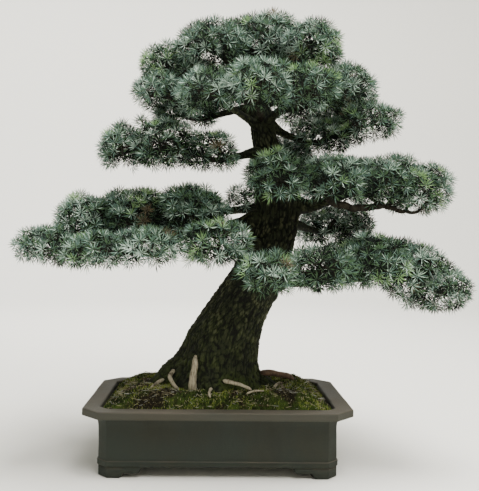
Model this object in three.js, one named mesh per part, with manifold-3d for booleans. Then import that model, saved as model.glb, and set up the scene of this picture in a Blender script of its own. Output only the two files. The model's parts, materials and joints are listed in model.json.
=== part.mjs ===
// Bonsai cedar in an unglazed rectangular pot with cut corners.
// Millimetres, +Z up. The sizes below are taken from the middle of the pot, at the level of its feet,
// with the front of the tree towards -Y. The finished group is moved so that the middle of its box
// is at x = y = 0.

import * as THREE from 'three';
import { mergeVertices } from 'three/addons/utils/BufferGeometryUtils.js';
import Module from 'manifold-3d';

const wasm = await Module();
wasm.setup();

// Clear space between neighbouring pieces.
const GAP = 0.3;

// Driving dimensions.

const POT = {
  width: 500,
  depth: 320,
  corner: 35,
  height: 127,
  baseZ: 20,
  bandZ: 31,
  bandInset: 27,
  bodyInset: 29,
  coveZ: 84,
  coveInset: 24,
  lipZ: 113,
  rimWidth: 32,
  floorZ: 32,
};

// A foot's arms are its lengths along the front and along the side.
const FOOT = {
  inset: 29,
  wall: 24,
  heelArms: [44, 32],
  toeArms: [81, 61],
  stepZ: 9,
  overlap: 2,
};

// The mound of soil: its height at shares of the way from the middle to the wall, its rings and the
// corners of a ring. Cushions of moss swell it by a few millimetres outside the foot of the trunk.
const SOIL = {
  mound: [
    { share: 0, z: 150 },
    { share: 0.735, z: 150 },
    { share: 0.87, z: 137 },
    { share: 1, z: 117 },
  ],
  rings: [1, 0.92, 0.83, 0.74, 0.62, 0.45],
  sideParts: { long: 6, short: 4 },
  swell: 4,
  swellSize: 50,
  seed: 223,
  clearFoot: 4,
  fadeFoot: 16,
  fadeWall: 0.1,
};

// Trunk stations: height, middle in x and y, and half width.
const TRUNK = {
  sides: 24,
  levels: 25,
  flatness: 0.94,
  soften: 24,
  stations: [
    { z: 146, x: 0, y: 0, half: 81 },
    { z: 165, x: 0, y: 0, half: 81 },
    { z: 185, x: 1, y: 0, half: 79 },
    { z: 220, x: 6, y: 0, half: 76 },
    { z: 265, x: 19, y: -1, half: 70 },
    { z: 310, x: 43, y: -2, half: 63 },
    { z: 355, x: 70, y: -3, half: 56 },
    { z: 400, x: 94, y: -4, half: 49 },
    { z: 450, x: 110, y: -5, half: 46 },
    { z: 510, x: 119, y: -6, half: 45 },
    { z: 555, x: 112, y: -8, half: 38 },
    { z: 600, x: 103, y: -9, half: 31 },
    { z: 650, x: 89, y: -10, half: 25 },
    { z: 700, x: 81, y: -11, half: 22 },
    { z: 760, x: 86, y: -12, half: 15 },
    { z: 815, x: 88, y: -12, half: 8 },
  ],
  // Root flare: direction in degrees, how far it reaches past the trunk, its half spread and its height
  // over the level that the roots spread on.
  flareZ: 137,
  roots: [
    { azimuth: 183, reach: 62, spread: 20, height: 52 },
    { azimuth: 225, reach: 24, spread: 16, height: 34 },
    { azimuth: 268, reach: 22, spread: 18, height: 30 },
    { azimuth: 318, reach: 34, spread: 15, height: 26 },
    { azimuth: 350, reach: 58, spread: 14, height: 26 },
    { azimuth: 42, reach: 40, spread: 18, height: 34 },
    { azimuth: 92, reach: 18, spread: 18, height: 34 },
    { azimuth: 138, reach: 30, spread: 18, height: 38 },
  ],
  // Knots: direction in degrees, height, how far they stand out and their half width.
  knots: [
    { azimuth: 288, z: 264, reach: 8, spread: 24 },
    { azimuth: 305, z: 215, reach: 6, spread: 22 },
    { azimuth: 354, z: 322, reach: 6, spread: 14 },
    { azimuth: 200, z: 250, reach: 6, spread: 26 },
    { azimuth: 95, z: 300, reach: 9, spread: 28 },
    { azimuth: 150, z: 410, reach: 6, spread: 20 },
    { azimuth: 262, z: 560, reach: 5, spread: 16 },
  ],
  // Long ridges of the bark: height, width, length, and the pattern's number.
  ridge: { height: 3.2, width: 30, length: 120, seed: 40 },
};

// Upright dead stump of a root, beside the foot of the trunk.
const STUMP = { foot: [-47, -66, 130], tip: [-43, -70, 216], radii: [7.5, 4.5], sides: 6 };

// Bare dead roots that leave the trunk's foot and sink into the moss, each with the radii of its ends.
const DEAD_ROOTS = {
  sides: 5,
  steps: 3,
  plans: [
    { points: [[-86, -34, 181], [-93, -50, 170], [-86, -58, 158], [-74, -68, 146]], radii: [4.2, 3.2] },
    { points: [[-106, -34, 162], [-122, -56, 156], [-134, -68, 146]], radii: [3.4, 2.4] },
    { points: [[8, -80, 172], [32, -83, 166], [60, -79, 159], [80, -82, 146]], radii: [4.8, 3.2] },
    { points: [[85, -26, 176], [112, -22, 173], [142, -10, 165], [154, -5, 157]], radii: [7, 4.2] },
    { points: [[-56, 78, 160], [-86, 94, 155], [-114, 99, 145]], radii: [4.4, 3] },
    { points: [[46, 80, 158], [82, 94, 153], [106, 92, 145]], radii: [4, 3] },
  ],
};

// Every bough is one tapering limb. It leaves its parent at a height on the trunk, or at a share of the
// parent bough's length, and ends inside the mass that it carries. Its radii are those of its two ends.
// A positive arch lifts its middle.
const BOUGH = { sides: 6, steps: 5 };

function bough(name, parent, at, mass, radii, arch) {
  return { name, parent, at, mass, radii, arch };
}

const BOUGHS = [
  bough('bough_left_upper', 'trunk', 598, 'foliage_left_upper', [10.5, 5.5], 15),
  bough('bough_left_lower', 'trunk', 487, 'foliage_left_lower_tip', [14, 5], -6),
  bough('bough_left_lower_outer', 'bough_left_lower', 0.74, 'foliage_left_lower_outer', [7, 4.5], 0),
  bough('bough_left_lower_front', 'bough_left_lower', 0.42, 'foliage_left_lower_front', [8, 4.5], 3),
  bough('bough_left_lower_middle', 'bough_left_lower', 0.56, 'foliage_left_lower_middle', [7.5, 4.5], 0),
  bough('bough_left_lower_upper', 'bough_left_lower', 0.26, 'foliage_left_lower_upper', [8, 4.5], 0),
  bough('bough_left_lower_back', 'bough_left_lower', 0.34, 'foliage_left_lower_back', [9, 5], 8),
  bough('bough_left_lower_inner', 'trunk', 420, 'foliage_left_lower_inner', [9, 5], 8),
  bough('bough_right_middle', 'trunk', 520, 'foliage_right_middle_outer', [14, 6], -18),
  bough('bough_right_middle_front', 'bough_right_middle', 0.4, 'foliage_right_middle', [8, 4.5], 0),
  bough('bough_right_middle_back', 'trunk', 562, 'foliage_right_middle_back', [10, 5], 6),
  bough('bough_right_lower', 'trunk', 360, 'foliage_right_lower_tip', [14, 6], -6),
  bough('bough_right_lower_front', 'bough_right_lower', 0.34, 'foliage_right_lower', [8, 4.5], 0),
  bough('bough_right_lower_outer', 'bough_right_lower', 0.62, 'foliage_right_lower_outer', [8, 4.5], 0),
  bough('bough_crown_left', 'trunk', 690, 'foliage_crown_left', [9, 5], 12),
  bough('bough_crown_front_left', 'trunk', 655, 'foliage_crown_front_left', [8, 4.5], 4),
  bough('bough_crown_front_right', 'trunk', 662, 'foliage_crown_front_right', [8, 4.5], 4),
  bough('bough_crown_right', 'trunk', 716, 'foliage_crown_right', [9, 5], 0),
  bough('bough_crown_right_low', 'trunk', 682, 'foliage_crown_right_tip', [10, 5], -8),
  bough('bough_crown_back_left', 'trunk', 702, 'foliage_crown_back_left', [9, 5], 6),
  bough('bough_crown_back_right', 'trunk', 676, 'foliage_crown_back_right', [9, 5], 6),
  bough('bough_back_right', 'trunk', 466, 'foliage_back_right', [12, 5], 6),
  bough('bough_back_left', 'trunk', 500, 'foliage_back_left', [11, 5], 6),
];

// Masses of foliage. A mass fills the space of its lobes, each an ellipsoid with a middle and half sizes;
// the lobe nearest its bough comes first. A mass with trunkAt grows straight from the trunk at that height.
const MASSES = [
  { name: 'foliage_crown_top', trunkAt: 815, lobes: [{ at: [87, -10, 839], half: [90, 90, 52] }] },
  { name: 'foliage_crown_top_left', trunkAt: 752, lobes: [{ at: [-13, -60, 812], half: [73, 85, 48] }] },
  { name: 'foliage_crown_top_right', trunkAt: 740, lobes: [{ at: [174, -50, 809], half: [66, 85, 51] }] },
  { name: 'foliage_crown_front', trunkAt: 672, lobes: [{ at: [66, -165, 715], half: [68, 65, 50] }] },
  { name: 'foliage_crown_back', trunkAt: 728, lobes: [{ at: [94, 140, 806], half: [100, 90, 62] }] },
  { name: 'foliage_crown_front_left', lobes: [{ at: [-24, -145, 708], half: [61, 65, 40] }] },
  { name: 'foliage_crown_front_right', lobes: [{ at: [155, -145, 714], half: [63, 65, 43] }] },
  {
    name: 'foliage_crown_left',
    lobes: [
      { at: [-66, 10, 693], half: [73, 65, 28] },
      { at: [-93, -20, 776], half: [66, 80, 52] },
      { at: [-113, -60, 725], half: [56, 70, 37] },
    ],
  },
  { name: 'foliage_crown_right', lobes: [{ at: [242, -40, 738], half: [63, 80, 49] }] },
  {
    name: 'foliage_crown_right_tip',
    lobes: [
      { at: [214, 30, 653], half: [74, 65, 41] },
      { at: [299, -30, 676], half: [63, 75, 38] },
    ],
  },
  { name: 'foliage_crown_back_left', lobes: [{ at: [-44, 115, 766], half: [90, 85, 58] }] },
  { name: 'foliage_crown_back_right', lobes: [{ at: [227, 110, 744], half: [90, 85, 66] }] },
  {
    name: 'foliage_left_upper',
    lobes: [
      { at: [-17, -75, 604], half: [55, 60, 40] },
      { at: [-110, -50, 620], half: [70, 80, 48] },
      { at: [-191, -30, 618], half: [50, 70, 46] },
    ],
  },
  { name: 'foliage_left_lower_tip', lobes: [{ at: [-325, -80, 425], half: [61, 75, 38] }] },
  { name: 'foliage_left_lower_outer', lobes: [{ at: [-260, -20, 474], half: [70, 80, 56] }] },
  {
    name: 'foliage_left_lower_front',
    lobes: [
      { at: [-128, -150, 424], half: [65, 60, 38] },
      { at: [-229, -150, 415], half: [65, 60, 38] },
    ],
  },
  { name: 'foliage_left_lower_middle', lobes: [{ at: [-168, -20, 487], half: [80, 75, 56] }] },
  { name: 'foliage_left_lower_upper', lobes: [{ at: [-55, -60, 494], half: [73, 75, 56] }] },
  { name: 'foliage_left_lower_inner', lobes: [{ at: [-8, -145, 430], half: [68, 62, 46] }] },
  { name: 'foliage_left_lower_back', lobes: [{ at: [-180, 110, 478], half: [118, 70, 46] }] },
  { name: 'foliage_left_small', trunkAt: 502, lobes: [{ at: [42, -14, 517], half: [31, 34, 31] }] },
  {
    name: 'foliage_right_middle_inner',
    trunkAt: 540,
    lobes: [{ at: [105, -125, 552], half: [61, 65, 50] }],
  },
  { name: 'foliage_right_middle', lobes: [{ at: [209, -95, 550], half: [70, 75, 53] }] },
  {
    name: 'foliage_right_middle_outer',
    lobes: [
      { at: [314, -50, 550], half: [70, 80, 56] },
      { at: [388, -40, 537], half: [66, 75, 56] },
    ],
  },
  { name: 'foliage_right_middle_back', lobes: [{ at: [270, 85, 574], half: [100, 75, 44] }] },
  { name: 'foliage_right_lower_inner', trunkAt: 372, lobes: [{ at: [87, -165, 381], half: [53, 60, 41] }] },
  { name: 'foliage_right_lower', lobes: [{ at: [186, -145, 389], half: [65, 70, 47] }] },
  {
    name: 'foliage_right_lower_outer',
    lobes: [
      { at: [293, -90, 399], half: [76, 80, 51] },
      { at: [303, 40, 395], half: [91, 65, 46] },
    ],
  },
  {
    name: 'foliage_right_lower_tip',
    lobes: [
      { at: [366, -60, 386], half: [66, 80, 56] },
      { at: [424, -60, 350], half: [60, 70, 52] },
    ],
  },
  { name: 'foliage_back_right', lobes: [{ at: [260, 150, 471], half: [90, 80, 49] }] },
  { name: 'foliage_back_left', lobes: [{ at: [-70, 180, 508], half: [85, 80, 46] }] },
  { name: 'foliage_back', trunkAt: 590, lobes: [{ at: [148, 190, 622], half: [83, 80, 54] }] },
];

// Growth of a mass: sites for tufts are thrown on the shell of its lobes, kept apart by a share of their
// reach, and each is joined by a three-sided twig to the nearest part of what has grown so far.
const GROWTH = {
  seed: 20417,
  throws: 300,
  spacing: 0.9,
  leastSpacing: 38,
  lowest: -0.8,
  inner: 0.5,
  balance: 0.35,
  forkShare: 0.5,
  stemLead: 14,
  stemRadius: 3.6,
  stemSides: 3,
  twigRadii: [1.3, 1.9],
  clearance: 0.5,
  smaller: [1, 0.82, 0.66],
  entry: 0.6,
};

// A tuft's reach is a share of its lobe's half height, between limits. Its core, neck and spikes are shares
// of that reach. The tilts of its two rings of spikes are in radians from its axis.
const TUFT = {
  reachShare: 0.95,
  leastReach: 28,
  mostReach: 46,
  siteShare: 0.68,
  drop: 0.14,
  core: 0.46,
  neck: 0.34,
  upperTilt: 0.62,
  middleTilt: 1.35,
  middleShare: 0.96,
  topShare: 0.65,
};

// Small helpers.

function seededRandom(seed) {
  let state = seed >>> 0;
  return function next() {
    state = (state + 0x6d2b79f5) >>> 0;
    let word = state;
    word = Math.imul(word ^ (word >>> 15), word | 1);
    word ^= word + Math.imul(word ^ (word >>> 7), word | 61);
    return ((word ^ (word >>> 14)) >>> 0) / 4294967296;
  };
}

// A fixed number from 0 to 1 for each whole-number cell.
function cellHash(x, y, z, seed) {
  let word = Math.imul(x, 73856093) ^ Math.imul(y, 19349663);
  word ^= Math.imul(z, 83492791) ^ Math.imul(seed, 2654435761);
  word = Math.imul(word ^ (word >>> 16), 0x45d9f3b);
  word = Math.imul(word ^ (word >>> 16), 0x45d9f3b);
  return ((word ^ (word >>> 16)) >>> 0) / 4294967296;
}

// A share from 0 to 1 that starts and ends level.
function ease(share) {
  return THREE.MathUtils.smoothstep(share, 0, 1);
}

// Smooth noise from -1 to 1: hashed heights at whole-number corners, eased into each other.
function latticeNoise(x, y, z, seed) {
  const base = [Math.floor(x), Math.floor(y), Math.floor(z)];
  const shares = [ease(x - base[0]), ease(y - base[1]), ease(z - base[2])];
  let total = 0;
  for (const corner of [0, 1, 2, 3, 4, 5, 6, 7]) {
    const steps = [corner & 1, (corner >> 1) & 1, corner >> 2];
    const weights = steps.map((step, axis) => (step ? shares[axis] : 1 - shares[axis]));
    const hash = cellHash(base[0] + steps[0], base[1] + steps[1], base[2] + steps[2], seed);
    total += weights[0] * weights[1] * weights[2] * hash;
  }
  return 2 * total - 1;
}

function vector(triple) {
  return new THREE.Vector3(triple[0], triple[1], triple[2]);
}

function solidFrom(geometry) {
  const bare = geometry.clone();
  bare.deleteAttribute('normal');
  bare.deleteAttribute('uv');
  const merged = mergeVertices(bare, 1e-4);
  const mesh = new wasm.Mesh({
    numProp: 3,
    vertProperties: new Float32Array(merged.attributes.position.array),
    triVerts: new Uint32Array(merged.index.array),
  });
  return new wasm.Manifold(mesh);
}

function geometryFrom(solid) {
  const mesh = solid.getMesh();
  const geometry = new THREE.BufferGeometry();
  geometry.setAttribute('position', new THREE.BufferAttribute(mesh.vertProperties, 3));
  geometry.setIndex(new THREE.BufferAttribute(mesh.triVerts, 1));
  geometry.computeVertexNormals();
  return geometry;
}

// A closed skin through rings of equal vertex count: place(side, level) gives each vertex.
function loft(sides, levels, place) {
  const geometry = new THREE.CylinderGeometry(1, 1, 1, sides, levels - 1);
  const position = geometry.attributes.position;
  const rings = [];
  for (let level = 0; level < levels; level += 1) {
    const ring = [];
    for (let side = 0; side < sides; side += 1) {
      ring.push(place(side, level));
    }
    rings.push(ring);
  }
  for (let i = 0; i < position.count; i += 1) {
    const x = position.getX(i);
    const z = position.getZ(i);
    const level = Math.round((position.getY(i) + 0.5) * (levels - 1));
    const ring = rings[level];
    const point = new THREE.Vector3();
    if (Math.hypot(x, z) < 0.5) {
      ring.forEach((corner) => point.add(corner));
      point.divideScalar(sides);
    } else {
      const turn = Math.atan2(x, z) / (2 * Math.PI);
      point.copy(ring[(Math.round(turn * sides) + sides) % sides]);
    }
    position.setXYZ(i, point.x, point.y, point.z);
  }
  return solidFrom(geometry);
}

// A round limb of changing radius along a curve.
function limbSolid(curve, radiusAt, sides, steps) {
  const frames = curve.computeFrenetFrames(steps, false);
  const points = curve.getSpacedPoints(steps);
  return loft(sides, steps + 1, (side, level) => {
    const angle = (2 * Math.PI * side) / sides;
    const radius = radiusAt(level / steps);
    const point = points[level].clone();
    point.addScaledVector(frames.normals[level], radius * Math.cos(angle));
    point.addScaledVector(frames.binormals[level], radius * Math.sin(angle));
    return point;
  });
}

function frustum(from, to, radii, sides) {
  const curve = new THREE.LineCurve3(from, to);
  return limbSolid(curve, (t) => THREE.MathUtils.lerp(radii[0], radii[1], t), sides, 1);
}

function largestPiece(solid) {
  const pieces = solid.decompose();
  pieces.sort((a, b) => b.volume() - a.volume());
  return pieces[0];
}

function boxSolid(min, max) {
  const size = vector(max).sub(vector(min));
  const geometry = new THREE.BoxGeometry(size.x, size.y, size.z);
  geometry.translate(min[0] + size.x / 2, min[1] + size.y / 2, min[2] + size.z / 2);
  return solidFrom(geometry);
}

// Pot and soil.

// Corners of a rectangle with cut corners, counted round from the right of the front.
function cutCornerOutline(halfWidth, halfDepth, corner) {
  const w = halfWidth;
  const d = halfDepth;
  return [
    [w - corner, -d],
    [w, -d + corner],
    [w, d - corner],
    [w - corner, d],
    [-w + corner, d],
    [-w, d - corner],
    [-w, -d + corner],
    [-w + corner, -d],
  ];
}

// The cut keeps its flat parallel to the rim's as the outline shrinks.
function insetOutline(inset) {
  const corner = POT.corner - inset * (2 - Math.SQRT2);
  return cutCornerOutline(POT.width / 2 - inset, POT.depth / 2 - inset, corner);
}

function outlineLoft(levels) {
  return loft(8, levels.length, (side, level) => {
    const corner = levels[level].outline[side];
    return new THREE.Vector3(corner[0], corner[1], levels[level].z);
  });
}

function potShell() {
  const levels = [
    { inset: POT.bodyInset, z: POT.baseZ },
    { inset: POT.bandInset, z: POT.baseZ + 2 },
    { inset: POT.bandInset, z: POT.bandZ - 1 },
    { inset: POT.bodyInset, z: POT.bandZ },
    { inset: POT.bodyInset, z: POT.coveZ },
    { inset: POT.bodyInset - 1.5, z: (POT.coveZ + POT.lipZ) / 2 },
    { inset: POT.coveInset, z: POT.lipZ },
    { inset: 0.8, z: POT.lipZ },
    { inset: 0, z: POT.lipZ + 1 },
    { inset: 0, z: POT.height - 1 },
    { inset: 1, z: POT.height },
    { inset: POT.rimWidth, z: POT.height },
    { inset: POT.rimWidth + 1.5, z: POT.height - 10 },
    { inset: POT.rimWidth + 12, z: POT.floorZ },
  ];
  return outlineLoft(levels.map((level) => ({ outline: insetOutline(level.inset), z: level.z })));
}

// One foot bends round a corner of the pot: a band between two outlines, kept near that corner.
function footLayer(arms, fromZ, toZ, signX, signY) {
  const flat = (inset) => insetOutline(inset).map((corner) => new THREE.Vector2(corner[0], corner[1]));
  const shape = new THREE.Shape(flat(FOOT.inset));
  shape.holes.push(new THREE.Path(flat(FOOT.inset + FOOT.wall)));
  const geometry = new THREE.ExtrudeGeometry(shape, { depth: toZ - fromZ, bevelEnabled: false });
  geometry.translate(0, 0, fromZ);
  const reachX = POT.width / 2 - FOOT.inset - arms[0];
  const reachY = POT.depth / 2 - FOOT.inset - arms[1];
  const spanX = [signX * reachX, signX * POT.width].sort((a, b) => a - b);
  const spanY = [signY * reachY, signY * POT.depth].sort((a, b) => a - b);
  const corner = boxSolid([spanX[0], spanY[0], fromZ - 1], [spanX[1], spanY[1], toZ + 1]);
  return solidFrom(geometry).intersect(corner);
}

function potSolid() {
  let pot = potShell();
  for (const signX of [-1, 1]) {
    for (const signY of [-1, 1]) {
      pot = pot.add(footLayer(FOOT.toeArms, FOOT.stepZ, POT.baseZ + FOOT.overlap, signX, signY));
      pot = pot.add(footLayer(FOOT.heelArms, 0, FOOT.stepZ, signX, signY));
    }
  }
  return pot;
}

// How far out a place on the soil lies: 0 in the middle and 1 at the wall.
function wallShare(x, y) {
  const inset = POT.rimWidth + 1.5 + 2 * GAP;
  const halfWidth = POT.width / 2 - inset;
  const halfDepth = POT.depth / 2 - inset;
  const corner = POT.corner - inset * (2 - Math.SQRT2);
  const cut = (Math.abs(x) + Math.abs(y)) / (halfWidth + halfDepth - corner);
  return Math.max(Math.abs(x) / halfWidth, Math.abs(y) / halfDepth, cut);
}

function moundHeight(share) {
  const levels = SOIL.mound;
  const upper = Math.max(1, levels.findIndex((level) => level.share >= share - 1e-9));
  const low = levels[upper - 1];
  const high = levels[upper];
  return THREE.MathUtils.lerp(low.z, high.z, (share - low.share) / (high.share - low.share));
}

function soilHeight(x, y) {
  const share = wallShare(x, y);
  const away = Math.hypot(x, y / TRUNK.flatness);
  const angle = Math.atan2(y / TRUNK.flatness, x);
  const foot = TRUNK.stations[0].half + rootFlare(angle, SOIL.mound[0].z);
  const free = ease((away - foot - SOIL.clearFoot) / SOIL.fadeFoot) * ease((1 - share) / SOIL.fadeWall);
  const swell = SOIL.swell * latticeNoise(x / SOIL.swellSize, y / SOIL.swellSize, 0, SOIL.seed);
  return moundHeight(Math.min(share, 1)) + swell * free;
}

// The outline at an inset, with its long and short sides divided evenly.
function dividedOutline(inset) {
  const corners = insetOutline(inset);
  const parts = [1, SOIL.sideParts.short, 1, SOIL.sideParts.long];
  return corners.flatMap((corner, index) => {
    const next = corners[(index + 1) % corners.length];
    const count = parts[index % parts.length];
    return Array.from({ length: count }, (unused, step) => [
      THREE.MathUtils.lerp(corner[0], next[0], step / count),
      THREE.MathUtils.lerp(corner[1], next[1], step / count),
    ]);
  });
}

function soilSolid() {
  const wall = dividedOutline(POT.rimWidth + 1.5 + 2 * GAP);
  const floor = dividedOutline(POT.rimWidth + 12 + GAP);
  return loft(wall.length, SOIL.rings.length + 1, (side, level) => {
    if (level === 0) {
      return new THREE.Vector3(floor[side][0], floor[side][1], POT.floorZ + GAP);
    }
    const x = wall[side][0] * SOIL.rings[level - 1];
    const y = wall[side][1] * SOIL.rings[level - 1];
    return new THREE.Vector3(x, y, soilHeight(x, y));
  });
}

// Trunk.

// The station at a height, on straight lines between the given ones.
function stationAt(z) {
  const stations = TRUNK.stations;
  let upper = 1;
  while (upper < stations.length - 1 && stations[upper].z < z) {
    upper += 1;
  }
  const low = stations[upper - 1];
  const high = stations[upper];
  const share = THREE.MathUtils.clamp((z - low.z) / (high.z - low.z), 0, 1);
  return {
    x: THREE.MathUtils.lerp(low.x, high.x, share),
    y: THREE.MathUtils.lerp(low.y, high.y, share),
    half: THREE.MathUtils.lerp(low.half, high.half, share),
  };
}

// The middle and the half width at a height: a moving mean of the stations, which rounds off the bends.
function trunkAt(z) {
  const sum = { x: 0, y: 0, half: 0, weight: 0 };
  for (let step = -4; step <= 4; step += 1) {
    const station = stationAt(z + (step / 4) * TRUNK.soften);
    const weight = 1 - Math.abs(step) / 5;
    sum.x += weight * station.x;
    sum.y += weight * station.y;
    sum.half += weight * station.half;
    sum.weight += weight;
  }
  return {
    centre: new THREE.Vector3(sum.x / sum.weight, sum.y / sum.weight, z),
    half: sum.half / sum.weight,
  };
}

function turnBetween(angle, azimuth) {
  const away = angle - THREE.MathUtils.degToRad(azimuth);
  return Math.atan2(Math.sin(away), Math.cos(away));
}

function rootFlare(angle, z) {
  const rise = Math.max(z - TRUNK.flareZ, 0);
  let reach = 0;
  for (const root of TRUNK.roots) {
    const across = turnBetween(angle, root.azimuth) / THREE.MathUtils.degToRad(root.spread);
    const up = rise / root.height;
    reach += root.reach * Math.exp(-across * across) * Math.exp(-up * up);
  }
  return reach;
}

function knotSwell(angle, z, half) {
  let reach = 0;
  for (const knot of TRUNK.knots) {
    const away = Math.hypot(turnBetween(angle, knot.azimuth) * half, z - knot.z) / knot.spread;
    reach += knot.reach * Math.exp(-away * away);
  }
  return reach;
}

// The trunk's radius in a direction: half width, root flare, knots and the long ridges of its bark.
function trunkRadius(angle, z, half) {
  const plain = half + rootFlare(angle, z) + knotSwell(angle, z, half);
  const ridge = TRUNK.ridge;
  const across = plain / ridge.width;
  const noise = latticeNoise(
    across * Math.cos(angle),
    across * Math.sin(angle),
    z / ridge.length,
    ridge.seed,
  );
  return plain + ridge.height * Math.min(half / 45, 1) * noise;
}

function trunkLoft(extra) {
  const low = TRUNK.stations[0].z;
  const high = TRUNK.stations[TRUNK.stations.length - 1].z;
  const last = TRUNK.levels - 1;
  return loft(TRUNK.sides, TRUNK.levels, (side, level) => {
    const z = THREE.MathUtils.lerp(low, high, level / last);
    const { centre, half } = trunkAt(z);
    const angle = (2 * Math.PI * side) / TRUNK.sides;
    const radius = trunkRadius(angle, z, half) + extra;
    return new THREE.Vector3(
      centre.x + radius * Math.cos(angle),
      centre.y + radius * Math.sin(angle) * TRUNK.flatness,
      z + (level === 0 ? -extra : 0) + (level === last ? extra : 0),
    );
  });
}

function deadRootSolid(plan) {
  const curve = new THREE.CatmullRomCurve3(plan.points.map(vector), false, 'centripetal');
  const radiusAt = (t) => THREE.MathUtils.lerp(plan.radii[0], plan.radii[1], t);
  return limbSolid(curve, radiusAt, DEAD_ROOTS.sides, DEAD_ROOTS.steps);
}

// The trunk with its dead stump and roots. It stands on the soil, a little clear of it.
function trunkSolid(soil) {
  const stump = frustum(vector(STUMP.foot), vector(STUMP.tip), STUMP.radii, STUMP.sides);
  const roots = DEAD_ROOTS.plans.map(deadRootSolid);
  const whole = wasm.Manifold.union([trunkLoft(0), stump, ...roots]);
  return largestPiece(whole.subtract(soil.translate([0, 0, GAP])));
}

// Boughs.

// Where a limb that comes from a point enters a mass: on the near and lower side of its first lobe.
function entryPoint(mass, from) {
  const lobe = mass.lobes[0];
  const centre = vector(lobe.at);
  const toward = from.clone().sub(centre);
  const scaled = Math.hypot(toward.x / lobe.half[0], toward.y / lobe.half[1], toward.z / lobe.half[2]);
  const entry = centre.clone().addScaledVector(toward, Math.min(GROWTH.entry / scaled, 0.8));
  entry.z = Math.min(entry.z, centre.z - 0.28 * lobe.half[2]);
  return entry;
}

function boughCurve(start, end, arch) {
  const along = end.clone().sub(start);
  const first = start.clone().addScaledVector(along, 0.33);
  const second = start.clone().addScaledVector(along, 0.68);
  first.z += arch;
  second.z += arch * 0.6;
  return new THREE.CatmullRomCurve3([start, first, second, end], false, 'centripetal');
}

function growBoughs(masses) {
  const boughs = new Map();
  for (const plan of BOUGHS) {
    const mass = masses.get(plan.mass);
    const parent = boughs.get(plan.parent);
    const start = parent ? parent.curve.getPointAt(plan.at) : trunkAt(plan.at).centre;
    const end = entryPoint(mass, start);
    const curve = boughCurve(start, end, plan.arch);
    const radiusAt = (t) => THREE.MathUtils.lerp(plan.radii[0], plan.radii[1], t);
    const whole = limbSolid(curve, radiusAt, BOUGH.sides, BOUGH.steps);
    const wider = limbSolid(curve, (t) => radiusAt(t) + GAP, BOUGH.sides, BOUGH.steps);
    const cutter = parent ? parent.wider : trunkLoft(GAP);
    boughs.set(plan.name, { plan, curve, radiusAt, wider, solid: largestPiece(whole.subtract(cutter)) });
    mass.bough = boughs.get(plan.name);
  }
  return boughs;
}

// Foliage.

function tuftReach(lobe) {
  return THREE.MathUtils.clamp(TUFT.reachShare * lobe.half[2], TUFT.leastReach, TUFT.mostReach);
}

// Half sizes of the shell that a lobe's tufts are centred on, so that their spikes end at the lobe's own.
function siteShell(lobe) {
  const back = TUFT.siteShare * tuftReach(lobe);
  return lobe.half.map((half) => Math.max(half - back, 4));
}

// How far a point lies from the middle of a mass's nearest lobe: 1 on the shell of the given half sizes.
function shellShare(point, mass, halfOf) {
  let least = Infinity;
  for (const lobe of mass.lobes) {
    const half = halfOf(lobe);
    const share = Math.hypot(
      (point.x - lobe.at[0]) / half[0],
      (point.y - lobe.at[1]) / half[1],
      (point.z - lobe.at[2]) / half[2],
    );
    least = Math.min(least, share);
  }
  return least;
}

const outerHalf = (lobe) => lobe.half;

// One throw: a point on the site shell of a lobe, from its top to a little below its middle.
function thrownSite(lobe, random) {
  const turn = 2 * Math.PI * random();
  const rise = THREE.MathUtils.lerp(1, GROWTH.lowest, random());
  const flat = Math.sqrt(1 - rise * rise);
  const normal = new THREE.Vector3(flat * Math.cos(turn), flat * Math.sin(turn), rise);
  const shell = siteShell(lobe);
  const point = new THREE.Vector3(
    lobe.at[0] + normal.x * shell[0],
    lobe.at[1] + normal.y * shell[1],
    lobe.at[2] + normal.z * shell[2] - TUFT.drop * tuftReach(lobe),
  );
  return { point, normal, reach: tuftReach(lobe) };
}

function isFree(site, mass, all, accepted) {
  const buried = all.some((other) => shellShare(site.point, other, siteShell) < GROWTH.inner);
  const own = shellShare(site.point, mass, outerHalf);
  const strange = all.some((other) => other !== mass && shellShare(site.point, other, outerHalf) < own);
  const crowded = accepted.some((other) => {
    const least = Math.max((GROWTH.spacing * (site.reach + other.reach)) / 2, GROWTH.leastSpacing);
    return site.point.distanceTo(other.point) < least;
  });
  return !buried && !strange && !crowded;
}

function tuftSites(masses, random) {
  const accepted = [];
  const all = [...masses.values()];
  for (const mass of all) {
    mass.sites = [];
    for (const lobe of mass.lobes) {
      for (let i = 0; i < GROWTH.throws; i += 1) {
        const site = thrownSite(lobe, random);
        if (isFree(site, mass, all, accepted)) {
          accepted.push(site);
          mass.sites.push(site);
        }
      }
    }
  }
}

// The stem runs from the bough's tip, or from the trunk, through the middles of the lobes.
function stemOf(mass) {
  const path = [];
  let from;
  if (mass.bough) {
    const curve = mass.bough.curve;
    const tangent = curve.getTangentAt(1);
    from = curve.getPointAt(1).addScaledVector(tangent, GAP);
    path.push(from.clone(), from.clone().addScaledVector(tangent, GROWTH.stemLead));
  } else {
    from = trunkAt(mass.trunkAt).centre;
    path.push(from.clone());
  }
  for (const lobe of mass.lobes) {
    const middle = vector(lobe.at);
    middle.z -= 0.18 * lobe.half[2];
    path.push(middle);
  }
  return path;
}

function stemSolid(mass, trunkCutter) {
  const curve = new THREE.CatmullRomCurve3(mass.stem, false, 'centripetal');
  const radiusAt = (t) => THREE.MathUtils.lerp(GROWTH.stemRadius + 0.8, GROWTH.stemRadius - 0.9, t);
  const steps = 2 * mass.stem.length - 2;
  const stem = limbSolid(curve, radiusAt, GROWTH.stemSides, steps);
  return mass.bough ? stem : largestPiece(stem.subtract(trunkCutter));
}

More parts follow.
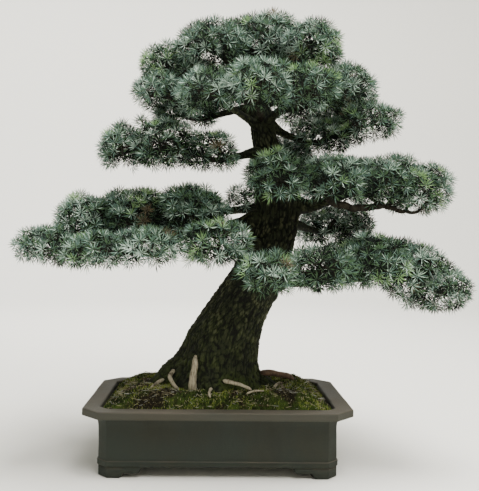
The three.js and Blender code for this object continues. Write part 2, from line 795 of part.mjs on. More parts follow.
// Nodes along the stem that twigs can spring from, with their way back to its foot.
function stemNodes(mass) {
  const curve = new THREE.CatmullRomCurve3(mass.stem, false, 'centripetal');
  const length = curve.getLength();
  const count = Math.max(3, Math.round(length / 22));
  const nodes = [];
  for (let i = 1; i <= count; i += 1) {
    const share = i / count;
    const point = curve.getPointAt(share);
    if (mass.bough || shellShare(point, mass, outerHalf) < 1) {
      nodes.push({ point, way: share * length });
    }
  }
  return nodes;
}

// Two unit vectors square to an axis and to each other.
function crossAxes(axis) {
  const side = Math.abs(axis.x) > 0.8 ? new THREE.Vector3(0, 1, 0) : new THREE.Vector3(1, 0, 0);
  const first = side.cross(axis).normalize();
  return [first, axis.clone().cross(first)];
}

// A sprig is a three-sided twig that widens into a slim core. Each face of the core is raised to a needle
// spike that ends at the tuft's reach, and so is the core's top.
function sprigSolid(root, site, axis, turn) {
  const along = site.point.clone().sub(root).normalize();
  const [first, second] = crossAxes(along);
  const reach = site.reach;
  const step = (2 * Math.PI) / 3;
  const radial = (share) => {
    const angle = turn + share * step;
    return first.clone().multiplyScalar(Math.cos(angle)).addScaledVector(second, Math.sin(angle));
  };
  const neck = site.point.clone().addScaledVector(along, -reach * TUFT.neck);
  const points = [];
  for (let i = 0; i < 3; i += 1) {
    points.push(root.clone().addScaledVector(radial(i), GROWTH.twigRadii[0]));
  }
  for (let i = 0; i < 3; i += 1) {
    points.push(neck.clone().addScaledVector(radial(i), GROWTH.twigRadii[1]));
  }
  for (let i = 0; i < 3; i += 1) {
    points.push(site.point.clone().addScaledVector(radial(i + 0.5), reach * TUFT.core));
  }
  points.push(site.point.clone().addScaledVector(axis, reach * TUFT.topShare));
  const faces = [0, 2, 1];
  const spike = (a, b, c, tilt, share) => {
    const middle = points[a].clone().add(points[b]).add(points[c]).divideScalar(3);
    const out = middle.sub(site.point).normalize();
    const flat = out.clone().addScaledVector(axis, -out.dot(axis)).normalize();
    const tip = site.point.clone()
      .addScaledVector(axis, Math.cos(tilt) * reach * share)
      .addScaledVector(flat, Math.sin(tilt) * reach * share);
    const index = points.push(tip) - 1;
    faces.push(a, b, index, b, c, index, c, a, index);
  };
  for (let i = 0; i < 3; i += 1) {
    const next = (i + 1) % 3;
    const before = (i + 2) % 3;
    faces.push(i, next, 3 + next, i, 3 + next, 3 + i);
    faces.push(3 + i, 3 + next, 6 + i);
    spike(3 + i, 6 + i, 6 + before, TUFT.middleTilt, TUFT.middleShare);
    spike(6 + i, 6 + next, 9, TUFT.upperTilt, 1);
  }
  const geometry = new THREE.BufferGeometry().setFromPoints(points);
  geometry.setIndex(faces);
  return solidFrom(geometry);
}

// The node that the shortest way leads from, counting the way back to the foot of the stem.
function bestNode(nodes, point) {
  let best = nodes[0];
  let least = Infinity;
  for (const node of nodes) {
    const cost = node.point.distanceTo(point) + GROWTH.balance * node.way;
    if (cost < least) {
      least = cost;
      best = node;
    }
  }
  return best;
}

function sphereAround(solid) {
  const box = solid.boundingBox();
  const low = vector(box.min);
  const high = vector(box.max);
  const centre = low.clone().add(high).multiplyScalar(0.5);
  return { centre, radius: high.distanceTo(low) / 2 };
}

function obstacle(owner, solid) {
  return { owner, solid, sphere: sphereAround(solid) };
}

function isClear(solid, owner, obstacles) {
  const own = sphereAround(solid);
  return obstacles.every((other) => {
    if (other.owner === owner) {
      return true;
    }
    const apart = own.centre.distanceTo(other.sphere.centre);
    if (apart > own.radius + other.sphere.radius + GROWTH.clearance) {
      return true;
    }
    return solid.minGap(other.solid, 2 * GROWTH.clearance) >= GROWTH.clearance;
  });
}

// The sprig of one site. Where it would touch a limb or another mass it is tried smaller, then skipped.
function growSite(mass, site, nodes, random, obstacles) {
  const node = bestNode(nodes, site.point);
  const along = site.point.clone().sub(node.point);
  const length = along.length();
  along.normalize();
  const root = node.point.clone().addScaledVector(along, -GROWTH.twigRadii[0]);
  const axis = along.clone().multiplyScalar(0.5).addScaledVector(site.normal, 0.6);
  axis.z += 0.55;
  axis.normalize();
  const turn = 2 * Math.PI * random();
  for (const share of GROWTH.smaller) {
    const sprig = sprigSolid(root, { point: site.point, reach: site.reach * share }, axis, turn);
    if (isClear(sprig, mass.name, obstacles)) {
      const fork = node.point.clone().addScaledVector(along, length * GROWTH.forkShare);
      nodes.push({ point: fork, way: node.way + length * GROWTH.forkShare });
      obstacles.push(obstacle(mass.name, sprig));
      return [sprig];
    }
  }
  return [];
}

function growFoliage(masses, limbs) {
  const random = seededRandom(GROWTH.seed);
  const obstacles = limbs.map((limb) => obstacle(limb.name, limb.solid));
  const solids = new Map();
  tuftSites(masses, random);
  for (const mass of masses.values()) {
    mass.stem = stemOf(mass);
    mass.stemSolid = stemSolid(mass, trunkLoft(GAP));
    obstacles.push(obstacle(mass.name, mass.stemSolid));
  }
  for (const mass of masses.values()) {
    const nodes = stemNodes(mass);
    const foot = mass.stem[0];
    const parts = [mass.stemSolid];
    mass.sites.sort((a, b) => a.point.distanceTo(foot) - b.point.distanceTo(foot));
    for (const site of mass.sites) {
      parts.push(...growSite(mass, site, nodes, random, obstacles));
    }
    solids.set(mass.name, largestPiece(wasm.Manifold.union(parts)));
  }
  return solids;
}

// Materials.

function clayMaterial() {
  return new THREE.MeshStandardMaterial({
    name: 'unglazed_clay',
    color: 0x4b4a42,
    roughness: 0.85,
    metalness: 0,
  });
}

function mossMaterial() {
  return new THREE.MeshStandardMaterial({
    name: 'moss_and_soil',
    color: 0x4a5328,
    roughness: 0.95,
    metalness: 0,
  });
}

function barkMaterial() {
  return new THREE.MeshStandardMaterial({
    name: 'bark',
    color: 0x302a22,
    roughness: 0.9,
    metalness: 0,
  });
}

function needleMaterial() {
  return new THREE.MeshStandardMaterial({
    name: 'needles',
    color: 0x5c7566,
    roughness: 0.7,
    metalness: 0,
  });
}

// Assembly.

function addPiece(group, name, solid, material) {
  const mesh = new THREE.Mesh(geometryFrom(solid), material);
  mesh.name = name;
  group.add(mesh);
}

function buildTree() {
  const tree = new THREE.Group();
  const masses = new Map(MASSES.map((mass) => [mass.name, { ...mass }]));
  const soil = soilSolid();
  const trunk = trunkSolid(soil);
  const boughs = growBoughs(masses);
  const limbs = [{ name: 'trunk', solid: trunk }];
  boughs.forEach((bough, name) => limbs.push({ name, solid: bough.solid }));
  addPiece(tree, 'pot', potSolid(), clayMaterial());
  addPiece(tree, 'soil', soil, mossMaterial());
  limbs.forEach((limb) => addPiece(tree, limb.name, limb.solid, barkMaterial()));
  growFoliage(masses, limbs).forEach((solid, name) => addPiece(tree, name, solid, needleMaterial()));
  return tree;
}

// The middle of the whole box stands over x = y = 0, with the feet on z = 0.
function centred(tree) {
  const box = new THREE.Box3().setFromObject(tree);
  const middle = box.getCenter(new THREE.Vector3());
  tree.position.set(-middle.x, -middle.y, -box.min.z);
  tree.updateMatrixWorld(true);
  return tree;
}

const group = centred(buildTree());

export default group;
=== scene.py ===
"""Looks of a cedar bonsai in a rectangular unglazed pot with cut corners.

Sizes are metres. Plans are written in the pot's own frame: x to the right, y to the back and z up from
the level of the feet, in the middle of the pot. Every mesh is moved from there into the frame of the
solids, where the pot's box gives the place.
"""

import json
import logging
import math
from dataclasses import dataclass, field
from enum import Enum
from typing import Sequence

import bpy
import numpy as np
from mathutils import Matrix, Vector
from numpy.linalg import norm

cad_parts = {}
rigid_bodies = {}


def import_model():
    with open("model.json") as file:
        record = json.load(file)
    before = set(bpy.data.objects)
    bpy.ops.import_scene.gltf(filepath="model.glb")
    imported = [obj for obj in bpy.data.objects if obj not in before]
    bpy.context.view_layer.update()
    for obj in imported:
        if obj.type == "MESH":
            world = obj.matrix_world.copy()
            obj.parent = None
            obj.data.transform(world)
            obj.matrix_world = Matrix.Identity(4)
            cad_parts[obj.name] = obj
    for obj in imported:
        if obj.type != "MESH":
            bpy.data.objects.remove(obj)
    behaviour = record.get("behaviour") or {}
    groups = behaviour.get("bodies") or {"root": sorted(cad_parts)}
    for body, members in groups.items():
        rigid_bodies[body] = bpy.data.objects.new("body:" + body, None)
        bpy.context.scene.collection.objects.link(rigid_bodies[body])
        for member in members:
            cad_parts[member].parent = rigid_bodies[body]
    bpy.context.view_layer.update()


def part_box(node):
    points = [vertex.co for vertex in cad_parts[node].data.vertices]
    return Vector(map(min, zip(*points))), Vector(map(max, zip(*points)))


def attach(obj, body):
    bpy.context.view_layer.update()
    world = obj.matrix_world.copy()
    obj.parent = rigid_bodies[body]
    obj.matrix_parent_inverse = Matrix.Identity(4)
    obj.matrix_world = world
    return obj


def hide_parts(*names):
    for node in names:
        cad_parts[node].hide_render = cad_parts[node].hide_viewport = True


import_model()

Array = np.ndarray
Pair = tuple[float, float]
Triple = tuple[float, float, float]
Random = np.random.Generator
Socket = bpy.types.NodeSocket
Material = bpy.types.Material

LOG = logging.getLogger("bonsai")
BODY = "root"
GOLDEN_TURN = math.pi * (3.0 - math.sqrt(5.0))
WORD = np.uint64(0xFFFFFFFF)
MOST_TRIANGLES = 195_000
UP = np.array([0.0, 0.0, 1.0])


# Numbers, noise and curves.


def srgb(red: int, green: int, blue: int) -> tuple[float, float, float, float]:
    """A colour given in screen values from 0 to 255, as linear light with full cover.

    Args:
        red: Share of red.
        green: Share of green.
        blue: Share of blue.

    Returns:
        Red, green, blue and cover, each from 0 to 1.
    """
    shares = np.array([red, green, blue]) / 255.0
    linear = np.where(shares <= 0.04045, shares / 12.92, ((shares + 0.055) / 1.055) ** 2.4)
    return (*(float(value) for value in linear), 1.0)


def unit(vectors: Array) -> Array:
    """Vectors of length one along the given ones."""
    return vectors / np.maximum(norm(vectors, axis=-1, keepdims=True), 1e-12)


def ease(share: Array) -> Array:
    """A share from 0 to 1 that starts and ends level: 3 s^2 - 2 s^3."""
    held = np.clip(share, 0.0, 1.0)
    return held * held * (3.0 - 2.0 * held)


def seeded_numbers(seed: int, count: int) -> Array:
    """Even random numbers from 0 to 1, in the order in which the source of the solids draws them.

    Each starts as a 32-bit word, stepped by a fixed amount, that is then mixed by shifts and products.

    Args:
        seed: The first word.
        count: How many numbers are drawn.

    Returns:
        The numbers, one after the other.
    """
    steps = np.arange(1, count + 1, dtype=np.uint64)
    word = (np.uint64(seed) + steps * np.uint64(0x6D2B79F5)) & WORD
    word = ((word ^ (word >> np.uint64(15))) * (word | np.uint64(1))) & WORD
    mixed = ((word ^ (word >> np.uint64(7))) * (word | np.uint64(61))) & WORD
    word = word ^ ((word + mixed) & WORD)
    return ((word ^ (word >> np.uint64(14))) & WORD) / 2.0**32


def cell_hash(cells: Array, seed: int) -> Array:
    """A fixed number from 0 to 1 for each whole-number cell.

    Args:
        cells: Whole numbers, with x, y and z last.
        seed: Picks one of many such fields.

    Returns:
        One number a cell.
    """
    wide = cells.astype(np.int64).astype(np.uint64)
    word = wide[..., 0] * np.uint64(73856093) ^ wide[..., 1] * np.uint64(19349663)
    word = (word ^ wide[..., 2] * np.uint64(83492791) ^ np.uint64(seed * 2654435761)) & WORD
    word = ((word ^ (word >> np.uint64(16))) * np.uint64(0x45D9F3B)) & WORD
    word = ((word ^ (word >> np.uint64(16))) * np.uint64(0x45D9F3B)) & WORD
    return ((word ^ (word >> np.uint64(16))) & WORD) / 2.0**32


def lattice_noise(places: Array, seed: int) -> Array:
    """Smooth noise from -1 to 1: hashed heights at whole-number corners, eased into each other.

    Args:
        places: Points, counted in cells.
        seed: Picks one of many such fields.

    Returns:
        One value a point.
    """
    base = np.floor(places)
    share = ease(places - base)
    total = np.zeros(places.shape[:-1])
    for corner in np.ndindex(2, 2, 2):
        weight = np.prod(np.where(np.array(corner) == 1, share, 1.0 - share), axis=-1)
        total += weight * cell_hash(base + np.array(corner), seed)
    return 2.0 * total - 1.0


def layered_noise(places: Array, seed: int, layers: int = 3) -> Array:
    """Lattice noise plus finer layers, each twice as fine and half as strong as the last.

    Args:
        places: Points, counted in cells of the first layer.
        seed: Picks one of many such fields.
        layers: How many layers are added up.

    Returns:
        One value a point, mostly between -1 and 1.
    """
    total = np.zeros(places.shape[:-1])
    for layer in range(layers):
        total += lattice_noise(places * 2.0**layer, seed + layer) / 2.0**layer
    return total


def plate_noise(places: Array, seed: int) -> tuple[Array, Array]:
    """Plates with cracks between them: cells round one jittered middle in each whole-number cube.

    The crack value is the distance to the second nearest middle less that to the nearest.

    Args:
        places: Points, counted in plates.
        seed: Picks one of many such fields.

    Returns:
        The crack value, 0 in a crack, and a fixed number from 0 to 1 for the plate.
    """
    base = np.floor(places)
    nearest = np.full(places.shape[:-1], 9.0)
    second = np.full(places.shape[:-1], 9.0)
    plate = np.zeros(places.shape[:-1])
    for step in np.ndindex(3, 3, 3):
        cell = base + np.array(step) - 1.0
        jitter = np.stack([cell_hash(cell, seed + axis) for axis in range(3)], axis=-1)
        apart = norm(cell + jitter - places, axis=-1)
        closer = apart < nearest
        second = np.where(closer, nearest, np.minimum(second, apart))
        plate = np.where(closer, cell_hash(cell, seed + 7), plate)
        nearest = np.where(closer, apart, nearest)
    return second - nearest, plate


def columns_at(places: Array | float, known: Array, rows: Array) -> Array:
    """Rows of a table at places between the known ones, each column joined by straight lines."""
    return np.stack([np.interp(places, known, column) for column in rows.T], axis=-1)


def smooth_curve(points: Array, steps: int) -> Array:
    """A centripetal Catmull-Rom curve, as places that lie evenly along it.

    Each stretch is a Hermite curve whose end slopes come from its neighbours, weighed by the square
    roots of the distances. Past each end the first stretch is mirrored.

    Args:
        points: The points that the curve runs through.
        steps: How many steps the result has.

    Returns:
        steps + 1 places.
    """
    padded = np.vstack([2 * points[0] - points[1], points, 2 * points[-1] - points[-2]])
    gaps = np.sqrt(norm(np.diff(padded, axis=0), axis=1))[:, None]
    before, here, after = gaps[:-2], gaps[1:-1], gaps[2:]
    p0, p1, p2, p3 = padded[:-3], padded[1:-2], padded[2:-1], padded[3:]
    slope_in = here * ((p1 - p0) / before - (p2 - p0) / (before + here) + (p2 - p1) / here)
    slope_out = here * ((p2 - p1) / here - (p3 - p1) / (here + after) + (p3 - p2) / after)
    t = np.linspace(0.0, 1.0, 25)[None, :, None]
    h00, h01 = 2 * t**3 - 3 * t**2 + 1, 3 * t**2 - 2 * t**3
    h10, h11 = t**3 - 2 * t**2 + t, t**3 - t**2
    dense = h00 * p1[:, None] + h10 * slope_in[:, None] + h01 * p2[:, None] + h11 * slope_out[:, None]
    dense = dense.reshape(-1, 3)
    way = np.concatenate([[0.0], np.cumsum(norm(np.diff(dense, axis=0), axis=1))])
    wanted = np.linspace(0.0, way[-1], steps + 1)
    return columns_at(wanted, way, dense)


def square_axes(tangents: Array) -> tuple[Array, Array]:
    """Two unit directions square to each tangent and to each other.

    The first is square to the world axis that lies farthest from the whole path's direction.

    Args:
        tangents: Unit directions, with the steps of a path on the last axis but one.

    Returns:
        The first and the second direction.
    """
    mean = np.abs(tangents.mean(axis=-2, keepdims=True))
    away = np.eye(3)[np.argmin(mean, axis=-1)]
    first = unit(np.cross(np.broadcast_to(away, tangents.shape), tangents))
    return first, np.cross(tangents, first)


def full_turn(count: int) -> Array:
    """Angles that lie evenly round a circle, from 0."""
    return np.arange(count) * 2 * math.pi / count


def lifted(flat: Array, heights: Array | float) -> Array:
    """Places in x and y, given their heights."""
    return np.concatenate([flat, np.broadcast_to(heights, flat.shape[:-1])[..., None]], axis=-1)


def path_length(path: Array) -> float:
    """The length of a path of straight stretches."""
    return float(norm(np.diff(path, axis=0), axis=1).sum())


def turned_from(angle: Array, azimuth: float) -> Array:
    """The angle from a direction given in degrees, less than half a turn either way."""
    return np.angle(np.exp(1j * (angle - math.radians(azimuth))))


def round_axis(radii: Array | float, angle: Array, heights: Array | float) -> Array:
    """Places round an upright axis: (radius cos a, radius sin a, height)."""
    return np.stack(np.broadcast_arrays(radii * np.cos(angle), radii * np.sin(angle), heights), axis=-1)


def spokes(axes: Array, cosine: Array, sine: Array, turn: Array) -> Array:
    """Directions that lean away from an axis: cos t axis + sin t (cos a first + sin a second).

    Args:
        axes: The axis, or one for each row of directions.
        cosine: Cosines of the tilts.
        sine: Sines of the tilts.
        turn: How far each direction turns round its axis.

    Returns:
        The directions.
    """
    first, second = square_axes(axes[..., None, :])
    flat = np.cos(turn)[..., None] * first + np.sin(turn)[..., None] * second
    return cosine[..., None] * axes[..., None, :] + sine[..., None] * flat


def repeated_faces(count: int, corners: int, pattern: Sequence[tuple[int, int, int]]) -> Array:
    """The faces of many like shapes: those of one, moved on by its count of corners for each."""
    return (np.arange(count)[:, None, None] * corners + np.array(pattern)).reshape(-1, 3)


# Meshes.


@dataclass
class Surface:
    """A mesh in the making.

    Attributes:
        points: Corners, in the pot's frame.
        faces: Arrays of corner numbers, one array for each count of corners a face has.
        finishes: For each array of faces, the number of its material, or one number a face.
        shares: Values from 0 to 1 at the corners, by name, that a material reads.
    """

    points: Array
    faces: list[Array]
    finishes: list[Array | int]
    shares: dict[str, Array] = field(default_factory=dict)


def tubes(rings: Array, shares: dict[str, Array] | None = None) -> Surface:
    """Closed skins over rings of equal count, each end shut by one flat face.

    Args:
        rings: Places by tube, if there are many, by ring and by side, the right-handed way round the path.
        shares: Values at the same places, by name.

    Returns:
        The surface, facing out.
    """
    corner = np.arange(rings[..., 0].size).reshape(-1, *rings.shape[-3:-1])
    turned = np.roll(corner, -1, axis=2)
    quads = np.stack([corner[:, :-1], turned[:, :-1], turned[:, 1:], corner[:, 1:]], axis=-1)
    ends = np.concatenate([corner[:, 0, ::-1], corner[:, -1]])
    values = {name: value.ravel() for name, value in (shares or {}).items()}
    return Surface(rings.reshape(-1, 3), [quads.reshape(-1, 4), ends], [0, 0], values)


def path_rings(path: Array, radii: Array, sides: int, relief: Array | float = 0.0) -> Array:
    """Rings square to a path: point + (radius + relief) (cos a, sin a) on its two square axes.

    Args:
        path: Places along the path, or along many paths at once.
        radii: The radius at each place.
        sides: How many corners a ring has.
        relief: What is added to the radius, by ring and side.

    Returns:
        Places by path, if there are many, ring and side.
    """
    tangents = unit(np.gradient(path, axis=-2))
    first, second = square_axes(tangents)
    angle = full_turn(sides)
    spread = (radii[..., None] + relief)[..., None]
    turn = np.cos(angle)[:, None] * first[..., None, :] + np.sin(angle)[:, None] * second[..., None, :]
    return path[..., None, :] + spread * turn


@dataclass
class Workshop:
    """Turns surfaces into pieces that ride on the plant's one body.

    Attributes:
        shift: The way from the pot's frame to the frame of the solids.
        triangles: How many triangles the pieces have so far.
    """

    shift: Vector
    triangles: int = 0

    @classmethod
    def from_frame(cls) -> "Workshop":
        """The workshop whose pot stands where the solid pot stands."""
        low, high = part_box("pot")
        middle = (low + high) / 2
        return cls(Vector((middle.x, middle.y, low.z)))

    def piece(
        self,
        name: str,
        surfaces: Sequence[Surface],
        materials: Sequence[Material],
        nodes: Sequence[str],
        smooth: bool = True,
    ) -> bpy.types.Object:
        """Joins surfaces into one piece and hands it to the frame.

        Args:
            name: Name of the piece.
            surfaces: What it is made of.
            materials: Its materials, in the order that the surfaces count them.
            nodes: The solids that it stands for.
            smooth: Whether its faces are shaded as a smooth skin.

        Returns:
            The piece.
        """
        mesh = bpy.data.meshes.new(name)
        starts = np.cumsum([0] + [len(surface.points) for surface in surfaces])
        points = np.concatenate([surface.points for surface in surfaces]) + np.array(self.shift)
        corners, sizes, finishes = [], [], []
        for surface, start in zip(surfaces, starts):
            for faces, finish in zip(surface.faces, surface.finishes):
                corners.append((faces + start).ravel())
                sizes.append(np.full(len(faces), faces.shape[1]))
                finishes.append(np.broadcast_to(finish, len(faces)))
        sizes = np.concatenate(sizes)
        corners = np.concatenate(corners)
        mesh.vertices.add(len(points))
        mesh.vertices.foreach_set("co", points.astype(np.float32).ravel())
        mesh.loops.add(len(corners))
        mesh.loops.foreach_set("vertex_index", corners.astype(np.int32))
        mesh.polygons.add(len(sizes))
        mesh.polygons.foreach_set("loop_start", (np.cumsum(sizes) - sizes).astype(np.int32))
        mesh.polygons.foreach_set("material_index", np.concatenate(finishes).astype(np.int32))
        mesh.polygons.foreach_set("use_smooth", np.full(len(sizes), smooth))
        for label in {label for surface in surfaces for label in surface.shares}:
            rows = [surface.shares.get(label, np.zeros(len(surface.points))) for surface in surfaces]
            layer = mesh.attributes.new(label, "FLOAT", "POINT")
            layer.data.foreach_set("value", np.concatenate(rows).astype(np.float32))
        mesh.update(calc_edges=True)
        for material in materials:
            mesh.materials.append(material)
        made = bpy.data.objects.new(name, mesh)
        bpy.context.scene.collection.objects.link(made)
        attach(made, BODY)
        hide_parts(*nodes)
        triangles = int((sizes - 2).sum())
        self.triangles += triangles
        LOG.info("%s: %d triangles, for %d solids", name, triangles, len(nodes))
        if triangles > MOST_TRIANGLES:
            LOG.warning("%s has more triangles than a piece may have", name)
        return made


# Finishes.


class Shader:
    """A node material in the making."""

    def __init__(self, name: str, roughness: float, specular: float) -> None:
        """Starts a material.

        Args:
            name: Name of the material.
            roughness: Its roughness where nothing else is linked.
            specular: Its specular level, the same all over.
        """
        self.material = bpy.data.materials.new(name)
        self.material.use_nodes = True
        self.surface = self.material.node_tree.nodes["Principled BSDF"]
        self.put(self.surface, {"Roughness": roughness, "Specular IOR Level": specular})

    def put(self, node: bpy.types.Node, inputs: dict[str | int, object]) -> None:
        """Fills a node's inputs.

        Args:
            node: The node.
            inputs: Sockets to link and values to set, by the name or number of the input.
        """
        for name, value in inputs.items():
            if isinstance(value, Socket):
                self.material.node_tree.links.new(value, node.inputs[name])
            else:
                node.inputs[name].default_value = value

    def node(self, kind: str, output: str | int, inputs: dict[str | int, object], **settings: str) -> Socket:
        """Adds a node.

        Args:
            kind: The node's type.
            output: The name or number of the output that is wanted.
            inputs: What goes into it, by the name or number of the input.
            **settings: Its properties by name.

        Returns:
            The output.
        """
        made = self.material.node_tree.nodes.new(kind)
        for name, setting in settings.items():
            setattr(made, name, setting)
        self.put(made, inputs)
        return made.outputs[output]

    def place(self, stretch: Triple = (1.0, 1.0, 1.0)) -> Socket:
        """Object coordinates, scaled along each axis."""
        coordinates = self.node("ShaderNodeTexCoord", "Object", {})
        return self.node("ShaderNodeMapping", "Vector", {"Vector": coordinates, "Scale": stretch})

    def share(self, name: str) -> Socket:
        """The value that the mesh carries at its corners under a name."""
        return self.node("ShaderNodeAttribute", "Fac", {}, attribute_name=name)

    def noise(self, place: Socket, scale: float, detail: float) -> Socket:
        """Noise from 0 to 1, with so many cells a metre and so many finer layers."""
        inputs = {"Vector": place, "Scale": scale, "Detail": detail, "Roughness": 0.6}
        return self.node("ShaderNodeTexNoise", "Fac", inputs)

    def grains(self, place: Socket, scale: float) -> Socket:
        """The distance to the nearest of scattered points, which are so many a metre."""
        return self.node("ShaderNodeTexVoronoi", "Distance", {"Vector": place, "Scale": scale})

    def height(self) -> Socket:
        """Height over the floor, in metres."""
        return self.node("ShaderNodeSeparateXYZ", "Z", {"Vector": self.place()})

    def upward(self) -> Socket:
        """How far a surface faces up, from -1 to 1."""
        normal = self.node("ShaderNodeNewGeometry", "Normal", {})
        return self.node("ShaderNodeSeparateXYZ", "Z", {"Vector": normal})

    def spread(self, value: Socket, low: float, high: float, to: Pair = (0.0, 1.0)) -> Socket:
        """A value mapped smoothly from low and high to the two ends of another range, and held there."""
        inputs = {"Value": value, "From Min": low, "From Max": high, "To Min": to[0], "To Max": to[1]}
        return self.node("ShaderNodeMapRange", "Result", inputs, interpolation_type="SMOOTHSTEP")

    def times(self, first: Socket, second: Socket) -> Socket:
        """The product of two values."""
        return self.node("ShaderNodeMath", 0, {0: first, 1: second}, operation="MULTIPLY")

    def sum(self, first: Socket, second: Socket) -> Socket:
        """The sum of two values."""
        return self.node("ShaderNodeMath", 0, {0: first, 1: second}, operation="ADD")

    def blend(self, share: Socket, first: Socket | tuple, second: Socket | tuple) -> Socket:
        """A colour between two others: the first where the share is 0, and the second where it is 1."""
        return self.node("ShaderNodeMix", 2, {0: share, 6: first, 7: second}, data_type="RGBA")

    def finish(
        self, colour: Socket, roughness: Socket | None = None, bumps: Sequence[tuple[Socket, float]] = ()
    ) -> Material:
        """Links colour, roughness and bumps to the surface.

        Args:
            colour: The base colour.
            roughness: The roughness, if it varies.
            bumps: Heights from 0 to 1 with what 1 stands for, in metres.

        Returns:
            The material.
        """
        normal = {}
        for height, distance in bumps:
            inputs = {"Height": height, "Distance": distance, **normal}
            normal = {"Normal": self.node("ShaderNodeBump", "Normal", inputs)}
        rough = {} if roughness is None else {"Roughness": roughness}
        self.put(self.surface, {"Base Color": colour, **rough, **normal})
        return self.material


@dataclass(frozen=True)
class ClayFinish:
    """Unglazed fired clay: grey-brown, with fine grit, soft clouds, stains and a pale bloom, which also
    paints a highlight on the rim and on faces that look up.
    """

    body: tuple = srgb(31, 38, 31)
    warm: tuple = srgb(40, 42, 34)
    dark: tuple = srgb(27, 29, 25)
    bloom_and_highlight: tuple = srgb(96, 88, 76)

    def material(self) -> Material:
        """The finish as a node material."""
        shader = Shader("unglazed_clay", 0.7, 0.25)
        place = shader.place()
        clouds = shader.noise(place, 9.0, 5.0)
        streaks = shader.noise(shader.place((1.0, 1.0, 0.22)), 34.0, 4.0)
        grit = shader.noise(place, 900.0, 3.0)
        specks = shader.grains(place, 420.0)
        colour = shader.blend(shader.spread(clouds, 0.35, 0.7), self.body, self.warm)
        colour = shader.blend(shader.spread(streaks, 0.5, 0.75, (0.0, 0.3)), colour, self.dark)
        colour = shader.blend(shader.spread(grit, 0.35, 0.75, (0.0, 0.35)), colour, self.dark)
        colour = shader.blend(shader.spread(specks, 0.16, 0.05, (0.0, 0.3)), colour, self.bloom_and_highlight)
        # The rim's face above the lip takes a share of the pale colour: partly bloom, partly a painted
        # highlight where the rim is lit over the shaded body.
        colour = shader.blend(shader.spread(shader.height(), 0.111, 0.114, (0.0, 0.18)), colour, self.bloom_and_highlight)
        # Faces that look up take more of the pale colour in clouds: partly wear and bloom, partly a painted
        # highlight from the light above.
        worn_and_top_highlight = shader.spread(clouds, 0.3, 0.7, (0.2, 0.5))
        worn_and_top_highlight = shader.times(shader.spread(shader.upward(), 0.3, 0.9), worn_and_top_highlight)
        colour = shader.blend(worn_and_top_highlight, colour, self.bloom_and_highlight)
        rough = shader.spread(clouds, 0.3, 0.75, (0.62, 0.82))
        return shader.finish(colour, rough, [(clouds, 0.0012), (streaks, 0.0005), (grit, 0.00035)])


@dataclass(frozen=True)
class BarkFinish:
    """Old cedar bark: dark fissures, grey-brown plates, and moss low down and on what faces up."""

    crack: tuple = srgb(11, 13, 8)
    plate: tuple = srgb(38, 43, 26)
    pale: tuple = srgb(70, 72, 51)
    moss: tuple = srgb(48, 58, 25)

    def material(self) -> Material:
        """The finish as a node material."""
        shader = Shader("cedar_bark", 0.9, 0.2)
        place = shader.place()
        relief = shader.share("relief")
        grain = shader.noise(shader.place((1.0, 1.0, 0.3)), 260.0, 6.0)
        patches = shader.noise(place, 26.0, 4.0)
        fine = shader.noise(place, 700.0, 4.0)
        rough = shader.sum(relief, shader.spread(grain, 0.3, 0.75, (-0.30, 0.30)))
        colour = shader.blend(shader.spread(rough, 0.2, 0.85), self.crack, self.plate)
        tips = shader.times(shader.spread(rough, 0.62, 0.95), shader.spread(patches, 0.42, 0.6))
        colour = shader.blend(tips, colour, self.pale)
        colour = shader.blend(shader.spread(fine, 0.5, 0.8, (0.0, 0.5)), colour, self.crack)
        green = shader.times(shader.share("moss"), shader.spread(patches, 0.38, 0.62))
        green = shader.times(green, shader.spread(rough, 0.15, 0.6, (0.1, 0.8)))
        colour = shader.blend(green, colour, self.moss)
        return shader.finish(colour, None, [(grain, 0.0026), (fine, 0.0012)])


@dataclass(frozen=True)
class TwigFinish:
    """Young bark of twigs: brown, finely ringed, with greyer stretches, both tones made very dark as painted
    shade of the foliage over them.
    """

    # Both tones are darkened to stand for the shade under the masses: painted shade.
    brown: tuple = srgb(27, 24, 17)
    grey: tuple = srgb(48, 45, 35)

    def material(self) -> Material:
        """The finish as a node material."""
        shader = Shader("twig_bark_painted_shade", 0.85, 0.2)
        place = shader.place()
        patches = shader.noise(place, 70.0, 4.0)
        rings = shader.noise(place, 800.0, 3.0)
        colour = shader.blend(shader.spread(patches, 0.4, 0.7), self.brown, self.grey)
        return shader.finish(colour, None, [(rings, 0.0004)])


@dataclass(frozen=True)
class DeadwoodFinish:
    """Dead wood: bleached or brown, with darker grain and darker where it is damp."""

    name: str = "bleached_wood"
    pale: tuple = srgb(152, 145, 124)
    grain: tuple = srgb(92, 80, 60)
    damp: tuple = srgb(56, 48, 34)

    def material(self) -> Material:
        """The finish as a node material."""
        shader = Shader(self.name, 0.8, 0.25)
        lines = shader.noise(shader.place((1.0, 1.0, 0.12)), 420.0, 5.0)
        patches = shader.noise(shader.place(), 55.0, 4.0)
        colour = shader.blend(shader.spread(lines, 0.45, 0.7), self.pale, self.grain)
        colour = shader.blend(shader.spread(patches, 0.5, 0.72), colour, self.damp)
        return shader.finish(colour, None, [(lines, 0.0009), (patches, 0.0006)])


